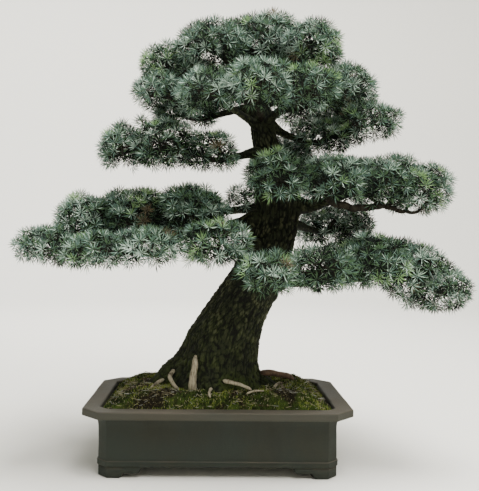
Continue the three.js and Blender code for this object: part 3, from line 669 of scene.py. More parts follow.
@dataclass(frozen=True)
class MossFinish:
    """Cushions of moss over dark soil."""

    soil: tuple = srgb(26, 23, 16)
    deep: tuple = srgb(24, 30, 14)
    fresh: tuple = srgb(63, 80, 31)
    straw: tuple = srgb(104, 98, 66)

    def material(self) -> Material:
        """The finish as a node material."""
        shader = Shader("moss_over_soil", 0.95, 0.1)
        place = shader.place()
        cushions = shader.share("moss")
        shade = shader.noise(place, 60.0, 5.0)
        fine = shader.noise(place, 420.0, 5.0)
        grit = shader.grains(place, 260.0)
        green = shader.blend(shader.spread(shade, 0.35, 0.68), self.deep, self.fresh)
        green = shader.blend(shader.spread(fine, 0.55, 0.8, (0.0, 0.7)), green, self.straw)
        earth = shader.blend(shader.spread(grit, 0.1, 0.5), self.straw, self.soil)
        earth = shader.blend(shader.spread(fine, 0.35, 0.6), self.soil, earth)
        colour = shader.blend(shader.spread(cushions, 0.3, 0.6), earth, green)
        return shader.finish(colour, None, [(fine, 0.003), (shade, 0.004)])


@dataclass(frozen=True)
class LeafTint:
    """One plain tint of needles, moss shoots or litter."""

    name: str
    colour: tuple
    roughness: float = 0.55
    specular: float = 0.3
    sheen: float = 0.04
    sheen_roughness: float = 0.4

    def material(self) -> Material:
        """The tint as a material with its values on the shader's own sockets."""
        shader = Shader(self.name, self.roughness, self.specular)
        sheen = {"Sheen Weight": self.sheen, "Sheen Roughness": self.sheen_roughness}
        shader.put(shader.surface, {"Base Color": self.colour, **sheen})
        return shader.material


class Palette(Enum):
    """Plain tints, in the order of a piece's materials."""

    @property
    def number(self) -> int:
        """The place of the tint among the materials."""
        return list(type(self)).index(self)

    @classmethod
    def materials(cls) -> list[Material]:
        """A material for each tint."""
        return [tint.value.material() for tint in cls]


class Needle(Palette):
    """The tints of needles, from pale to dark, then those of young and of dry ones. The darkest also serves
    as painted shade.
    """

    GLAUCOUS = LeafTint("needle_glaucous", srgb(166, 188, 172))
    BLUE = LeafTint("needle_blue_green", srgb(87, 115, 102))
    GREEN = LeafTint("needle_green", srgb(74, 103, 70))
    # The darkest tint: a random dark green, and painted shade inside the masses, under them and under each
    # rosette.
    DEEP = LeafTint("needle_deep_green_and_shade", srgb(14, 23, 17), 0.7, 0.1)
    YOUNG = LeafTint("needle_young", srgb(128, 162, 108))
    DRY = LeafTint("needle_dry", srgb(100, 90, 68))


# The pot.


@dataclass
class Pot:
    """The pot: rim, lip, hollow-curved neck, body, base band and four feet bent round its corners.

    Every level is the rim's outline pulled in by an inset. A cut corner keeps its flat parallel to the
    rim's: it shrinks by inset (2 - root 2).
    """

    width: float = 0.500
    depth: float = 0.320
    corner: float = 0.035
    height: float = 0.127
    base: float = 0.020
    neck: float = 0.084
    lip: float = 0.113
    floor: float = 0.032
    body_inset: float = 0.029
    neck_inset: float = 0.024
    neck_bend: float = 2.2
    fillet: float = 0.0016
    row_gap: float = 0.004
    unevenness: float = 0.0005
    wave: float = 0.055
    lip_wave: float = 0.08
    steps: tuple[int, int, int] = (5, 60, 96)
    foot_inset: float = 0.029
    foot_wall: float = 0.024
    foot_arms: Pair = (0.081, 0.061)
    foot_toes: Pair = (0.037, 0.029)
    foot_step: float = 0.009
    foot_edge: float = 0.002

    def corners(self, inset: float) -> Array:
        """The eight corners of the outline at an inset, anticlockwise from the right end of the front."""
        w, d = self.width / 2 - inset, self.depth / 2 - inset
        c = self.corner - inset * (2 - math.sqrt(2))
        near = [(w - c, -d), (w, c - d), (w, d - c), (w - c, d)]
        return np.array(near + [(-x, -y) for x, y in near])

    def outline(self, inset: float, steps: tuple[int, int, int]) -> Array:
        """The outline at an inset, with its edges slightly rounded.

        Each corner is a quadratic curve from one fillet before it to one fillet after it. Each straight
        side between two corners is divided evenly.

        Args:
            inset: How far in from the rim it lies.
            steps: Into how many steps a cut corner, a side and the front are divided.

        Returns:
            Points in x and y.
        """
        corners = self.corners(inset)
        t = np.linspace(0.0, 1.0, 5)[:, None]
        points = []
        for number, here in enumerate(corners):
            before, after = corners[number - 1], corners[(number + 1) % 8]
            start = here + self.fillet * unit(before - here)
            end = here + self.fillet * unit(after - here)
            points.append((1 - t) ** 2 * start + 2 * t * (1 - t) * here + t**2 * end)
            count = steps[(0, 1, 0, 2)[number % 4]]
            share = np.arange(1, count)[:, None] / count
            stop = after + self.fillet * unit(here - after)
            points.append(end + share * (stop - end))
        return np.concatenate(points)

    def profile(self) -> Array:
        """Insets and heights from the underside round the rim to the floor inside."""
        t = np.linspace(0.0, 1.0, 9)
        top = self.height
        neck_in = self.body_inset + (self.neck_inset - self.body_inset) * t**self.neck_bend
        neck_up = self.neck + (self.lip - self.neck) * t
        under = [(0.075, 0.0200), (0.0315, 0.0200), (0.0282, 0.0204), (0.0270, 0.0218)]
        band = [(0.0270, 0.0285), (0.0264, 0.0296), (0.0266, 0.0306), (0.0283, 0.0311), (0.0290, 0.0322)]
        lip = [(0.0225, self.lip), (0.0022, self.lip), (0.0007, self.lip + 0.0005), (0.0, self.lip + 0.0018)]
        rim = [(0.0, top - 0.0022), (0.0006, top - 0.0007), (0.0022, top)]
        mouth = [(0.0300, top - 0.0003), (0.0315, top - 0.0012), (0.0322, top - 0.004)]
        inside = [(0.0335, top - 0.012), (0.0440, self.floor)]
        rows = under + band + list(zip(neck_in, neck_up)) + lip + rim + mouth + inside
        return self.divided(np.array(rows))

    def divided(self, rows: Array) -> Array:
        """A profile with more rows, evenly between its own, wherever two are farther apart than the gap."""
        gaps = norm(np.diff(rows, axis=0), axis=1)
        counts = np.maximum(np.ceil(gaps / self.row_gap).astype(int), 1)
        places = np.concatenate([n + np.arange(k) / k for n, k in enumerate(counts)] + [[len(rows) - 1.0]])
        return columns_at(places, np.arange(len(rows)), rows)

    def shell(self) -> Surface:
        """The pot's wall: outline(inset) at each row of the profile, slightly uneven as fired clay is."""
        rim = self.outline(0.0, self.steps)
        inward = (self.outline(0.001, self.steps) - rim) / 0.001
        rows = self.profile()
        flat = np.broadcast_to(rim[None], (len(rows), *rim.shape))
        heights = rows[:, 1, None]
        places = lifted(flat, heights)
        uneven = self.unevenness * layered_noise(places / self.wave, 11, 3)
        rings = flat + (rows[:, 0, None] + uneven)[..., None] * inward
        swell = 0.3 * self.unevenness * layered_noise(places / self.lip_wave, 17, 2) * (heights > self.lip)
        return tubes(lifted(rings, heights + swell))

    def foot(self, sign_x: int, sign_y: int) -> Surface:
        """One foot: a rounded box section carried round a corner, with a step up to its toes.

        The underside is 0 at the heel, one step up at the toes, and rounds up to the base at both ends.

        Args:
            sign_x: 1 for the right of the pot, -1 for the left.
            sign_y: 1 for the back, -1 for the front.

        Returns:
            The surface.
        """
        ends = self.corners(self.foot_inset)
        right, front = ends[1, 0] - self.foot_arms[0], -ends[3, 1] + self.foot_arms[1]
        outer = np.array([(right, ends[0, 1]), ends[0], ends[1], (ends[1, 0], front)])
        deep = self.corners(self.foot_inset + self.foot_wall)
        inner = np.array([(right, deep[0, 1]), deep[0], deep[1], (deep[1, 0], front)])
        way = np.concatenate([[0.0], np.cumsum(norm(np.diff(outer, axis=0), axis=1))])
        along = np.linspace(0.0, way[-1], 72)
        outer, inner = columns_at(along, way, outer), columns_at(along, way, inner)
        from_end = np.minimum(along, way[-1] - along)
        toe = np.where(along < way[-1] / 2, *self.foot_toes)
        low = self.foot_step * (1.0 - ease((from_end - toe + 0.004) / 0.008))
        round_up = np.clip(1.0 - from_end / 0.007, 0.0, 1.0)
        low = low + (self.base - self.foot_step) * (1.0 - np.sqrt(1.0 - round_up**2))
        top = self.base + self.foot_edge
        edge = self.foot_edge / self.foot_wall
        half = [(0.0, None), (0.0, 1.0), (edge * 0.3, 0.3), (edge, 0.0)]
        section = half + [(1.0 - across, lift) for across, lift in reversed(half)]
        rings = np.empty((len(along), len(section), 3))
        for number, (across, lift) in enumerate(section):
            rings[:, number, :2] = outer + across * (inner - outer)
            level = top if lift is None else np.minimum(low + lift * self.foot_edge, top - 0.0005)
            rings[:, number, 2] = level
        rings *= np.array([sign_x, sign_y, 1.0])
        return tubes(rings if sign_x * sign_y < 0 else rings[:, ::-1])

    def build(self, shop: Workshop, clay: Material) -> bpy.types.Object:
        """Makes the pot's piece."""
        feet = [self.foot(x, y) for x in (-1, 1) for y in (-1, 1)]
        return shop.piece("clay_pot", [self.shell(), *feet], [clay], ["pot"])


# Trunk and boughs.


@dataclass(frozen=True)
class RootFlare:
    """A root's swelling at the foot of the trunk.

    Attributes:
        azimuth: Its direction in degrees.
        reach: How far it stands out at the soil.
        spread: Its half spread in degrees.
        height: How high it climbs.
    """

    azimuth: float
    reach: float
    spread: float
    height: float


@dataclass(frozen=True)
class Knot:
    """A round swelling of the trunk.

    Attributes:
        azimuth: Its direction in degrees.
        level: Its height over the pot's feet.
        reach: How far it stands out.
        spread: Its half width.
    """

    azimuth: float
    level: float
    reach: float
    spread: float


@dataclass
class Bark:
    """Relief of bark: broken plates parted by cracks, with a rough grain.

    Attributes:
        plate: Size of a plate around and along the limb.
        depth: How deep the cracks are.
        seed: Picks the pattern.
    """

    plate: Pair
    depth: float
    seed: int

    def relief(self, around: Array) -> tuple[Array, Array]:
        """Height of the bark over the wood.

        It is depth (value - 0.6). The value is 0.55 of a plate, which is 0 in a crack and near 1 on its
        back, 0.3 of creased noise, 1 less the size of smooth noise, and 0.22 of rough grain.

        Args:
            around: Places on a straightened limb: x and y round it and z along it.

        Returns:
            The height, and the value from 0 to 1.
        """
        cells = around / np.array([self.plate[0], self.plate[0], self.plate[1]])
        warp = np.stack([layered_noise(cells / 1.6, self.seed + 11 * n, 2) for n in range(3)], axis=-1)
        crack, plate = plate_noise(cells + 0.42 * warp, self.seed)
        long_cells = cells * np.array([0.8, 0.8, 0.5]) + 0.3 * warp
        creases = 1.0 - np.abs(layered_noise(long_cells, self.seed + 3, 2))
        rough = layered_noise(cells * 2.9, self.seed + 5, 2)
        value = 0.55 * ease(crack / 0.36) * (0.45 + 0.55 * plate) + 0.3 * creases**2
        value = np.clip(1.25 * (value + 0.22 * (rough + 1.0) / 2.0), 0.0, 1.0)
        return self.depth * (value - 0.6), value


@dataclass
class Trunk:
    """The trunk, whole from the soil to its tip, with its lean, its taper and the flare of its roots.

    A level is a round, slightly flattened ring about its own middle: radius = half width + flare + knots
    + long ridges + bark. Each flare is reach exp(-(turn / spread)^2) exp(-(rise / height)^2), and a ridge
    is smooth noise, four times as long as it is wide.
    """

    stations: tuple[tuple[float, ...], ...] = (
        (0.136, 0.000, 0.000, 0.081), (0.165, 0.000, 0.000, 0.081), (0.185, 0.001, 0.000, 0.079),
        (0.220, 0.006, 0.000, 0.076), (0.265, 0.019, -0.001, 0.070), (0.310, 0.043, -0.002, 0.063),
        (0.355, 0.070, -0.003, 0.056), (0.400, 0.094, -0.004, 0.049), (0.450, 0.110, -0.005, 0.046),
        (0.510, 0.119, -0.006, 0.045), (0.555, 0.112, -0.008, 0.038), (0.600, 0.103, -0.009, 0.031),
        (0.650, 0.089, -0.010, 0.025), (0.700, 0.081, -0.011, 0.022), (0.760, 0.086, -0.012, 0.015),
        (0.815, 0.088, -0.012, 0.008),
    )
    roots: tuple[RootFlare, ...] = (
        RootFlare(183, 0.062, 20, 0.052),
        RootFlare(225, 0.024, 16, 0.034),
        RootFlare(268, 0.022, 18, 0.030),
        RootFlare(318, 0.034, 15, 0.026),
        RootFlare(350, 0.058, 14, 0.026),
        RootFlare(42, 0.040, 18, 0.034),
        RootFlare(92, 0.018, 18, 0.034),
        RootFlare(138, 0.030, 18, 0.038),
    )
    knots: tuple[Knot, ...] = (
        Knot(288, 0.264, 0.008, 0.024),
        Knot(305, 0.215, 0.006, 0.022),
        Knot(354, 0.322, 0.006, 0.014),
        Knot(200, 0.250, 0.006, 0.026),
        Knot(95, 0.300, 0.009, 0.028),
        Knot(150, 0.410, 0.006, 0.020),
        Knot(262, 0.560, 0.005, 0.016),
        Knot(184, 0.188, 0.008, 0.017),
    )
    flatness: float = 0.94
    flare_level: float = 0.137
    soften: float = 0.024
    ridge: float = 0.0032
    ridge_size: Pair = (0.030, 0.120)
    ridge_seed: int = 40
    stout: float = 0.045
    lump: float = 0.0035
    lump_size: float = 0.024
    mossy_side: float = 210.0
    most_moss: float = 1.4
    sides: int = 252
    rows: int = 376
    bark: Bark = field(default_factory=lambda: Bark((0.0076, 0.0165), 0.0048, 31))

    def section(self, heights: Array) -> tuple[Array, Array]:
        """Middle and half width at given heights.

        The stations are joined by straight lines, and a moving mean rounds off the bends.

        Args:
            heights: Heights over the pot's feet.

        Returns:
            The middles and the half widths.
        """
        table = np.array(self.stations)
        offsets = np.linspace(-1.0, 1.0, 9) * self.soften
        weights = 1.0 - np.abs(offsets) / (1.25 * self.soften)
        weights = weights / weights.sum()
        levels = np.asarray(heights)[..., None] + offsets
        levels = np.clip(levels, table[0, 0], table[-1, 0])
        mean = (columns_at(levels, table[:, 0], table[:, 1:]) * weights[:, None]).sum(axis=-2)
        return lifted(mean[..., :2], heights), mean[..., 2]

    def flare(self, angle: Array, heights: Array | float) -> Array:
        """How far the roots stand out in a direction, at a height."""
        rise = np.maximum(heights - self.flare_level, 0.0)
        total = 0.0
        for root in self.roots:
            across = turned_from(angle, root.azimuth) / math.radians(root.spread)
            total = total + root.reach * np.exp(-(across**2)) * np.exp(-((rise / root.height) ** 2))
        return total

    def swelling(self, angle: Array, heights: Array, half: Array) -> Array:
        """How far the knots stand out."""
        total = 0.0
        for knot in self.knots:
            apart = np.hypot(turned_from(angle, knot.azimuth) * half, heights - knot.level) / knot.spread
            total = total + knot.reach * np.exp(-(apart**2))
        return total

    def surface(self) -> Surface:
        """The trunk's skin with its bark."""
        heights = np.linspace(self.stations[0][0], self.stations[-1][0], self.rows)
        middle, half = self.section(heights)
        angle = full_turn(self.sides)
        level, width = heights[:, None], half[:, None]
        flare = self.flare(angle, level)
        plain = width + flare + self.swelling(angle, level, width)
        cells = round_axis(plain / self.ridge_size[0], angle, level / self.ridge_size[1])
        ridges = self.ridge * lattice_noise(cells, self.ridge_seed)
        plain = plain + np.minimum(width / self.stout, 1.0) * ridges
        way = np.concatenate([[0.0], np.cumsum(norm(np.diff(middle, axis=0), axis=1))])[:, None]
        around = round_axis(plain, angle, way)
        bark, plate = self.bark.relief(around)
        fade = np.clip(width / self.stout, 0.35, 1.0)
        lumps = self.lump * layered_noise(around / self.lump_size, 47, 2) * ease((0.24 - level) / 0.08)
        rings = round_axis(plain + fade * bark + lumps, angle, level) * np.array([1.0, self.flatness, 1.0])
        rings[..., :2] += middle[:, None, :2]
        damp = ease((0.36 - level) / 0.20) + 0.5 * ease(flare / 0.03) + 0.6 * ease((0.20 - level) / 0.04)
        side = 0.75 + 0.25 * np.cos(angle - math.radians(self.mossy_side))
        return tubes(rings, {"relief": plate, "moss": np.clip(damp * side, 0.0, self.most_moss)})

    def build(self, shop: Workshop, bark: Material) -> bpy.types.Object:
        """Makes the trunk's piece."""
        return shop.piece("trunk_bark", [self.surface()], [bark], ["trunk"])


@dataclass(frozen=True)
class Bough:
    """One main bough.

    Attributes:
        name: Its name, without the word bough.
        parent: The trunk or the bough that it leaves.
        at: Height on the trunk, or share of the parent bough's length.
        mass: The mass of foliage that it ends in.
        radii: Its radius at the foot and at the tip.
        arch: How far its middle is lifted.
    """

    name: str
    parent: str
    at: float
    mass: str
    radii: Pair = (0.008, 0.0045)
    arch: float = 0.0


@dataclass
class Limb:
    """A bough's course: its places and radii."""

    path: Array
    radii: Array

    def at(self, share: float) -> Array:
        """The place at a share of its length."""
        place = share * (len(self.path) - 1)
        return columns_at(place, np.arange(len(self.path)), self.path)

    @property
    def heading(self) -> Array:
        """The direction that its tip points in."""
        return unit(self.path[-1] - self.path[-3])


BOUGHS = (
    Bough("left_upper", "trunk", 0.598, "left_upper", (0.0105, 0.0055), 0.015),
    Bough("left_lower", "trunk", 0.487, "left_lower_tip", (0.014, 0.005), -0.006),
    Bough("left_lower_outer", "left_lower", 0.74, "left_lower_outer", (0.007, 0.0045)),
    Bough("left_lower_front", "left_lower", 0.42, "left_lower_front", arch=0.003),
    Bough("left_lower_middle", "left_lower", 0.56, "left_lower_middle", (0.0075, 0.0045)),
    Bough("left_lower_upper", "left_lower", 0.26, "left_lower_upper"),
    Bough("left_lower_back", "left_lower", 0.34, "left_lower_back", (0.009, 0.005), 0.008),
    Bough("left_lower_inner", "trunk", 0.420, "left_lower_inner", (0.009, 0.005), 0.008),
    Bough("right_middle", "trunk", 0.520, "right_middle_outer", (0.014, 0.006), -0.018),
    Bough("right_middle_front", "right_middle", 0.4, "right_middle"),
    Bough("right_middle_back", "trunk", 0.562, "right_middle_back", (0.010, 0.005), 0.006),
    Bough("right_lower", "trunk", 0.360, "right_lower_tip", (0.014, 0.006), -0.006),
    Bough("right_lower_front", "right_lower", 0.34, "right_lower"),
    Bough("right_lower_outer", "right_lower", 0.62, "right_lower_outer"),
    Bough("crown_left", "trunk", 0.690, "crown_left", (0.009, 0.005), 0.012),
    Bough("crown_front_left", "trunk", 0.655, "crown_front_left", arch=0.004),
    Bough("crown_front_right", "trunk", 0.662, "crown_front_right", arch=0.004),
    Bough("crown_right", "trunk", 0.716, "crown_right", (0.009, 0.005)),
    Bough("crown_right_low", "trunk", 0.682, "crown_right_tip", (0.010, 0.005), -0.008),
    Bough("crown_back_left", "trunk", 0.702, "crown_back_left", (0.009, 0.005), 0.006),
    Bough("crown_back_right", "trunk", 0.676, "crown_back_right", (0.009, 0.005), 0.006),
    Bough("back_right", "trunk", 0.466, "back_right", (0.012, 0.005), 0.006),
    Bough("back_left", "trunk", 0.500, "back_left", (0.011, 0.005), 0.006),
)


# Masses of foliage.


class Zone(Enum):
    """Parts of the crown. The needles of a zone are one piece, and so are its twigs."""

    CROWN_TOP = "crown_top"
    CROWN_LEFT = "crown_left"
    CROWN_RIGHT = "crown_right"
    CROWN_BACK = "crown_back"
    LEFT_UPPER = "left_upper"
    LEFT_LOWER = "left_lower"
    LEFT_FRONT = "left_front"
    RIGHT_MIDDLE = "right_middle"
    RIGHT_LOWER = "right_lower"
    BACK = "back"


@dataclass(frozen=True)
class Lobe:
    """An ellipsoid that a mass fills.

    Attributes:
        middle: Its middle.
        half: Its half sizes.
    """

    middle: Triple
    half: Triple


@dataclass(frozen=True)
class Mass:
    """A mass of foliage.

    Attributes:
        name: Its name, without the word foliage.
        zone: The zone that it belongs to.
        trunk_at: The height on the trunk that it grows from, or None where a bough carries it.
        lobes: What it fills, the one nearest its bough first.
        sag: How far under the middles of its lobes its stem runs, as a share of their half heights.
        thickest: The largest radius of its wood.
        onward: More places that its stem runs through, past its lobes.
        borne: How many rosettes the end of its stem bears beyond its own, which keeps it stout.
        bare: Whether no rosettes grow as low as its stem.
    """

    name: str
    zone: Zone
    trunk_at: float | None
    lobes: tuple[Lobe, ...]
    sag: float = 0.18
    thickest: float = 0.0056
    onward: tuple[Triple, ...] = ()
    borne: float = 0.0
    bare: bool = False


MASSES = (
    Mass("crown_top", Zone.CROWN_TOP, 0.815, (Lobe((0.087, -0.010, 0.839), (0.090, 0.090, 0.052)),)),
    Mass("crown_top_left", Zone.CROWN_TOP, 0.752, (Lobe((-0.013, -0.060, 0.812), (0.073, 0.085, 0.048)),)),
    Mass("crown_top_right", Zone.CROWN_TOP, 0.740, (Lobe((0.174, -0.050, 0.809), (0.066, 0.085, 0.051)),)),
    Mass("crown_front", Zone.CROWN_LEFT, 0.672, (Lobe((0.066, -0.165, 0.715), (0.068, 0.065, 0.050)),)),
    Mass("crown_back", Zone.CROWN_BACK, 0.728, (Lobe((0.094, 0.140, 0.806), (0.100, 0.090, 0.062)),)),
    Mass("crown_front_left", Zone.CROWN_LEFT, None, (Lobe((-0.024, -0.145, 0.708), (0.061, 0.065, 0.040)),)),
    Mass("crown_front_right", Zone.CROWN_RIGHT, None, (Lobe((0.155, -0.145, 0.714), (0.063, 0.065, 0.043)),)),
    Mass("crown_left", Zone.CROWN_LEFT, None, (
        Lobe((-0.066, 0.010, 0.693), (0.073, 0.065, 0.028)),
        Lobe((-0.093, -0.020, 0.776), (0.066, 0.080, 0.052)),
        Lobe((-0.113, -0.060, 0.725), (0.056, 0.070, 0.037)),
    )),
    Mass("crown_right", Zone.CROWN_RIGHT, None, (Lobe((0.242, -0.040, 0.738), (0.063, 0.080, 0.049)),)),
    Mass("crown_right_tip", Zone.CROWN_RIGHT, None, (
        Lobe((0.214, 0.030, 0.653), (0.074, 0.065, 0.041)),
        Lobe((0.299, -0.030, 0.676), (0.063, 0.075, 0.038)),
    )),
    Mass("crown_back_left", Zone.CROWN_BACK, None, (Lobe((-0.044, 0.115, 0.766), (0.090, 0.085, 0.058)),)),
    Mass("crown_back_right", Zone.CROWN_BACK, None, (Lobe((0.227, 0.110, 0.744), (0.090, 0.085, 0.066)),)),
    Mass("left_upper", Zone.LEFT_UPPER, None, (
        Lobe((-0.017, -0.075, 0.604), (0.055, 0.060, 0.040)),
        Lobe((-0.110, -0.050, 0.620), (0.070, 0.080, 0.048)),
        Lobe((-0.191, -0.030, 0.618), (0.050, 0.070, 0.046)),
    )),
    Mass("left_lower_tip", Zone.LEFT_LOWER, None, (Lobe((-0.325, -0.080, 0.425), (0.061, 0.075, 0.038)),)),
    Mass("left_lower_outer", Zone.LEFT_LOWER, None, (Lobe((-0.260, -0.020, 0.474), (0.070, 0.080, 0.056)),)),
    Mass("left_lower_front", Zone.LEFT_FRONT, None, (
        Lobe((-0.128, -0.150, 0.424), (0.065, 0.060, 0.038)),
        Lobe((-0.229, -0.150, 0.415), (0.065, 0.060, 0.038)),
    )),
    Mass("left_lower_middle", Zone.LEFT_LOWER, None, (Lobe((-0.168, -0.020, 0.487), (0.080, 0.075, 0.056)),)),
    Mass("left_lower_upper", Zone.LEFT_FRONT, None, (Lobe((-0.055, -0.060, 0.494), (0.073, 0.075, 0.056)),)),
    Mass("left_lower_inner", Zone.LEFT_FRONT, None, (Lobe((-0.008, -0.145, 0.430), (0.068, 0.062, 0.046)),)),
    Mass("left_lower_back", Zone.LEFT_LOWER, None, (Lobe((-0.180, 0.110, 0.478), (0.118, 0.070, 0.046)),)),
    Mass("left_small", Zone.LEFT_UPPER, 0.502, (Lobe((0.042, -0.014, 0.517), (0.031, 0.034, 0.031)),)),
    Mass("right_middle_inner", Zone.RIGHT_MIDDLE, 0.540, (
        Lobe((0.105, -0.125, 0.552), (0.061, 0.065, 0.050)),
    )),
    Mass(
        "right_middle", Zone.RIGHT_MIDDLE, None, (Lobe((0.209, -0.095, 0.550), (0.070, 0.075, 0.053)),),
        onward=((0.248, -0.090, 0.501), (0.288, -0.068, 0.502), (0.320, -0.050, 0.509)),
        sag=0.75, thickest=0.0095, borne=220.0, bare=True,
    ),
    Mass("right_middle_outer", Zone.RIGHT_MIDDLE, None, (
        Lobe((0.314, -0.050, 0.550), (0.070, 0.080, 0.056)),
        Lobe((0.388, -0.040, 0.537), (0.066, 0.075, 0.056)),
    ), sag=0.76, thickest=0.010, borne=12.0, bare=True),
    Mass("right_middle_back", Zone.RIGHT_MIDDLE, None, (Lobe((0.270, 0.085, 0.574), (0.100, 0.075, 0.044)),)),
    Mass("right_lower_inner", Zone.RIGHT_LOWER, 0.372, (
        Lobe((0.087, -0.165, 0.381), (0.053, 0.060, 0.041)),
    )),
    Mass("right_lower", Zone.RIGHT_LOWER, None, (Lobe((0.186, -0.145, 0.389), (0.065, 0.070, 0.047)),)),
    Mass("right_lower_outer", Zone.RIGHT_LOWER, None, (
        Lobe((0.293, -0.090, 0.399), (0.076, 0.080, 0.051)),
        Lobe((0.303, 0.040, 0.395), (0.091, 0.065, 0.046)),
    )),
    Mass("right_lower_tip", Zone.RIGHT_LOWER, None, (
        Lobe((0.366, -0.060, 0.386), (0.066, 0.080, 0.056)),
        Lobe((0.424, -0.060, 0.350), (0.060, 0.070, 0.052)),
    )),
    Mass("back_right", Zone.BACK, None, (Lobe((0.260, 0.150, 0.471), (0.090, 0.080, 0.049)),)),
    Mass("back_left", Zone.BACK, None, (Lobe((-0.070, 0.180, 0.508), (0.085, 0.080, 0.046)),)),
    Mass("back", Zone.BACK, 0.590, (Lobe((0.148, 0.190, 0.622), (0.083, 0.080, 0.054)),)),
)


# Small sprays that stand out of their masses: the middle of each, by mass.

TUFTS: dict[str, tuple[Triple, ...]] = {
    "crown_front": (
        (0.012, -0.098, 0.738), (0.030, -0.090, 0.746), (0.046, -0.102, 0.754), (0.024, -0.064, 0.742),
        (0.004, -0.072, 0.732),
    ),
    "crown_left": (
        (-0.155, -0.020, 0.740), (-0.145, -0.020, 0.760), (-0.130, 0.000, 0.710), (-0.120, 0.000, 0.700),
    ),
    "left_upper": (
        (-0.150, -0.050, 0.665), (-0.190, -0.040, 0.655), (-0.215, -0.030, 0.640), (-0.220, -0.030, 0.610),
        (-0.210, -0.030, 0.595), (-0.135, -0.055, 0.590), (-0.100, -0.060, 0.590), (-0.065, -0.065, 0.590),
        (-0.040, -0.075, 0.640), (-0.015, -0.075, 0.630), (-0.025, -0.075, 0.590), (0.005, -0.075, 0.585),
        (0.025, -0.075, 0.595),
    ),
    "crown_front_right": ((0.130, -0.040, 0.675),),
    "crown_right_tip": (
        (0.155, -0.010, 0.665), (0.215, 0.000, 0.625), (0.330, -0.030, 0.660), (0.280, -0.010, 0.645),
    ),
    "crown_right": ((0.295, -0.040, 0.720),),
    "right_middle_outer": (
        (0.365, -0.050, 0.590), (0.345, -0.050, 0.595), (0.355, -0.020, 0.502), (0.405, -0.030, 0.500),
    ),
    "back_right": ((0.190, 0.120, 0.445), (0.230, 0.130, 0.440), (0.275, 0.130, 0.445)),
    "right_lower": ((0.140, -0.130, 0.395), (0.180, -0.145, 0.355), (0.205, -0.145, 0.355)),
    "right_lower_tip": (
        (0.325, -0.070, 0.435), (0.345, -0.060, 0.335), (0.370, -0.060, 0.320), (0.410, -0.060, 0.315),
    ),
    "right_lower_outer": ((0.285, -0.090, 0.360),),
    "left_small": ((0.065, -0.020, 0.545),),
    "left_lower_tip": (
        (-0.300, -0.080, 0.395), (-0.270, -0.080, 0.395), (-0.320, -0.080, 0.450), (-0.340, -0.060, 0.444),
        (-0.300, -0.100, 0.446), (-0.335, -0.105, 0.440),
    ),
    "left_lower_front": (
        (-0.220, -0.150, 0.400), (-0.130, -0.150, 0.448), (-0.150, -0.125, 0.444), (-0.225, -0.150, 0.440),
        (-0.205, -0.125, 0.438), (-0.250, -0.135, 0.434), (-0.105, -0.130, 0.440), (-0.236, -0.102, 0.424),
        (-0.212, -0.094, 0.432), (-0.256, -0.092, 0.426), (-0.228, -0.072, 0.438),
    ),
    "left_lower_outer": ((-0.210, -0.020, 0.520),),
    "left_lower_upper": ((-0.065, -0.050, 0.530),),
    "left_lower_inner": ((-0.030, -0.145, 0.410), (0.005, -0.145, 0.405), (0.025, -0.145, 0.420)),
}


@dataclass
class Sites:
    """Where a mass carries its sprays: places, outward directions and reaches, one row each."""

    places: Array
    outward: Array
    reaches: Array


@dataclass
class Whorls:
    """Rosettes of needles: middles, axes, needle lengths, and whether each lies in the mass's shade."""

    middles: Array
    axes: Array
    lengths: Array
    shaded: Array


@dataclass
class Twigs:
    """Stretches of twig: both ends, the radius at each, and how far the middle bows aside."""

    starts: Array
    ends: Array
    radii: Array
    bows: Array


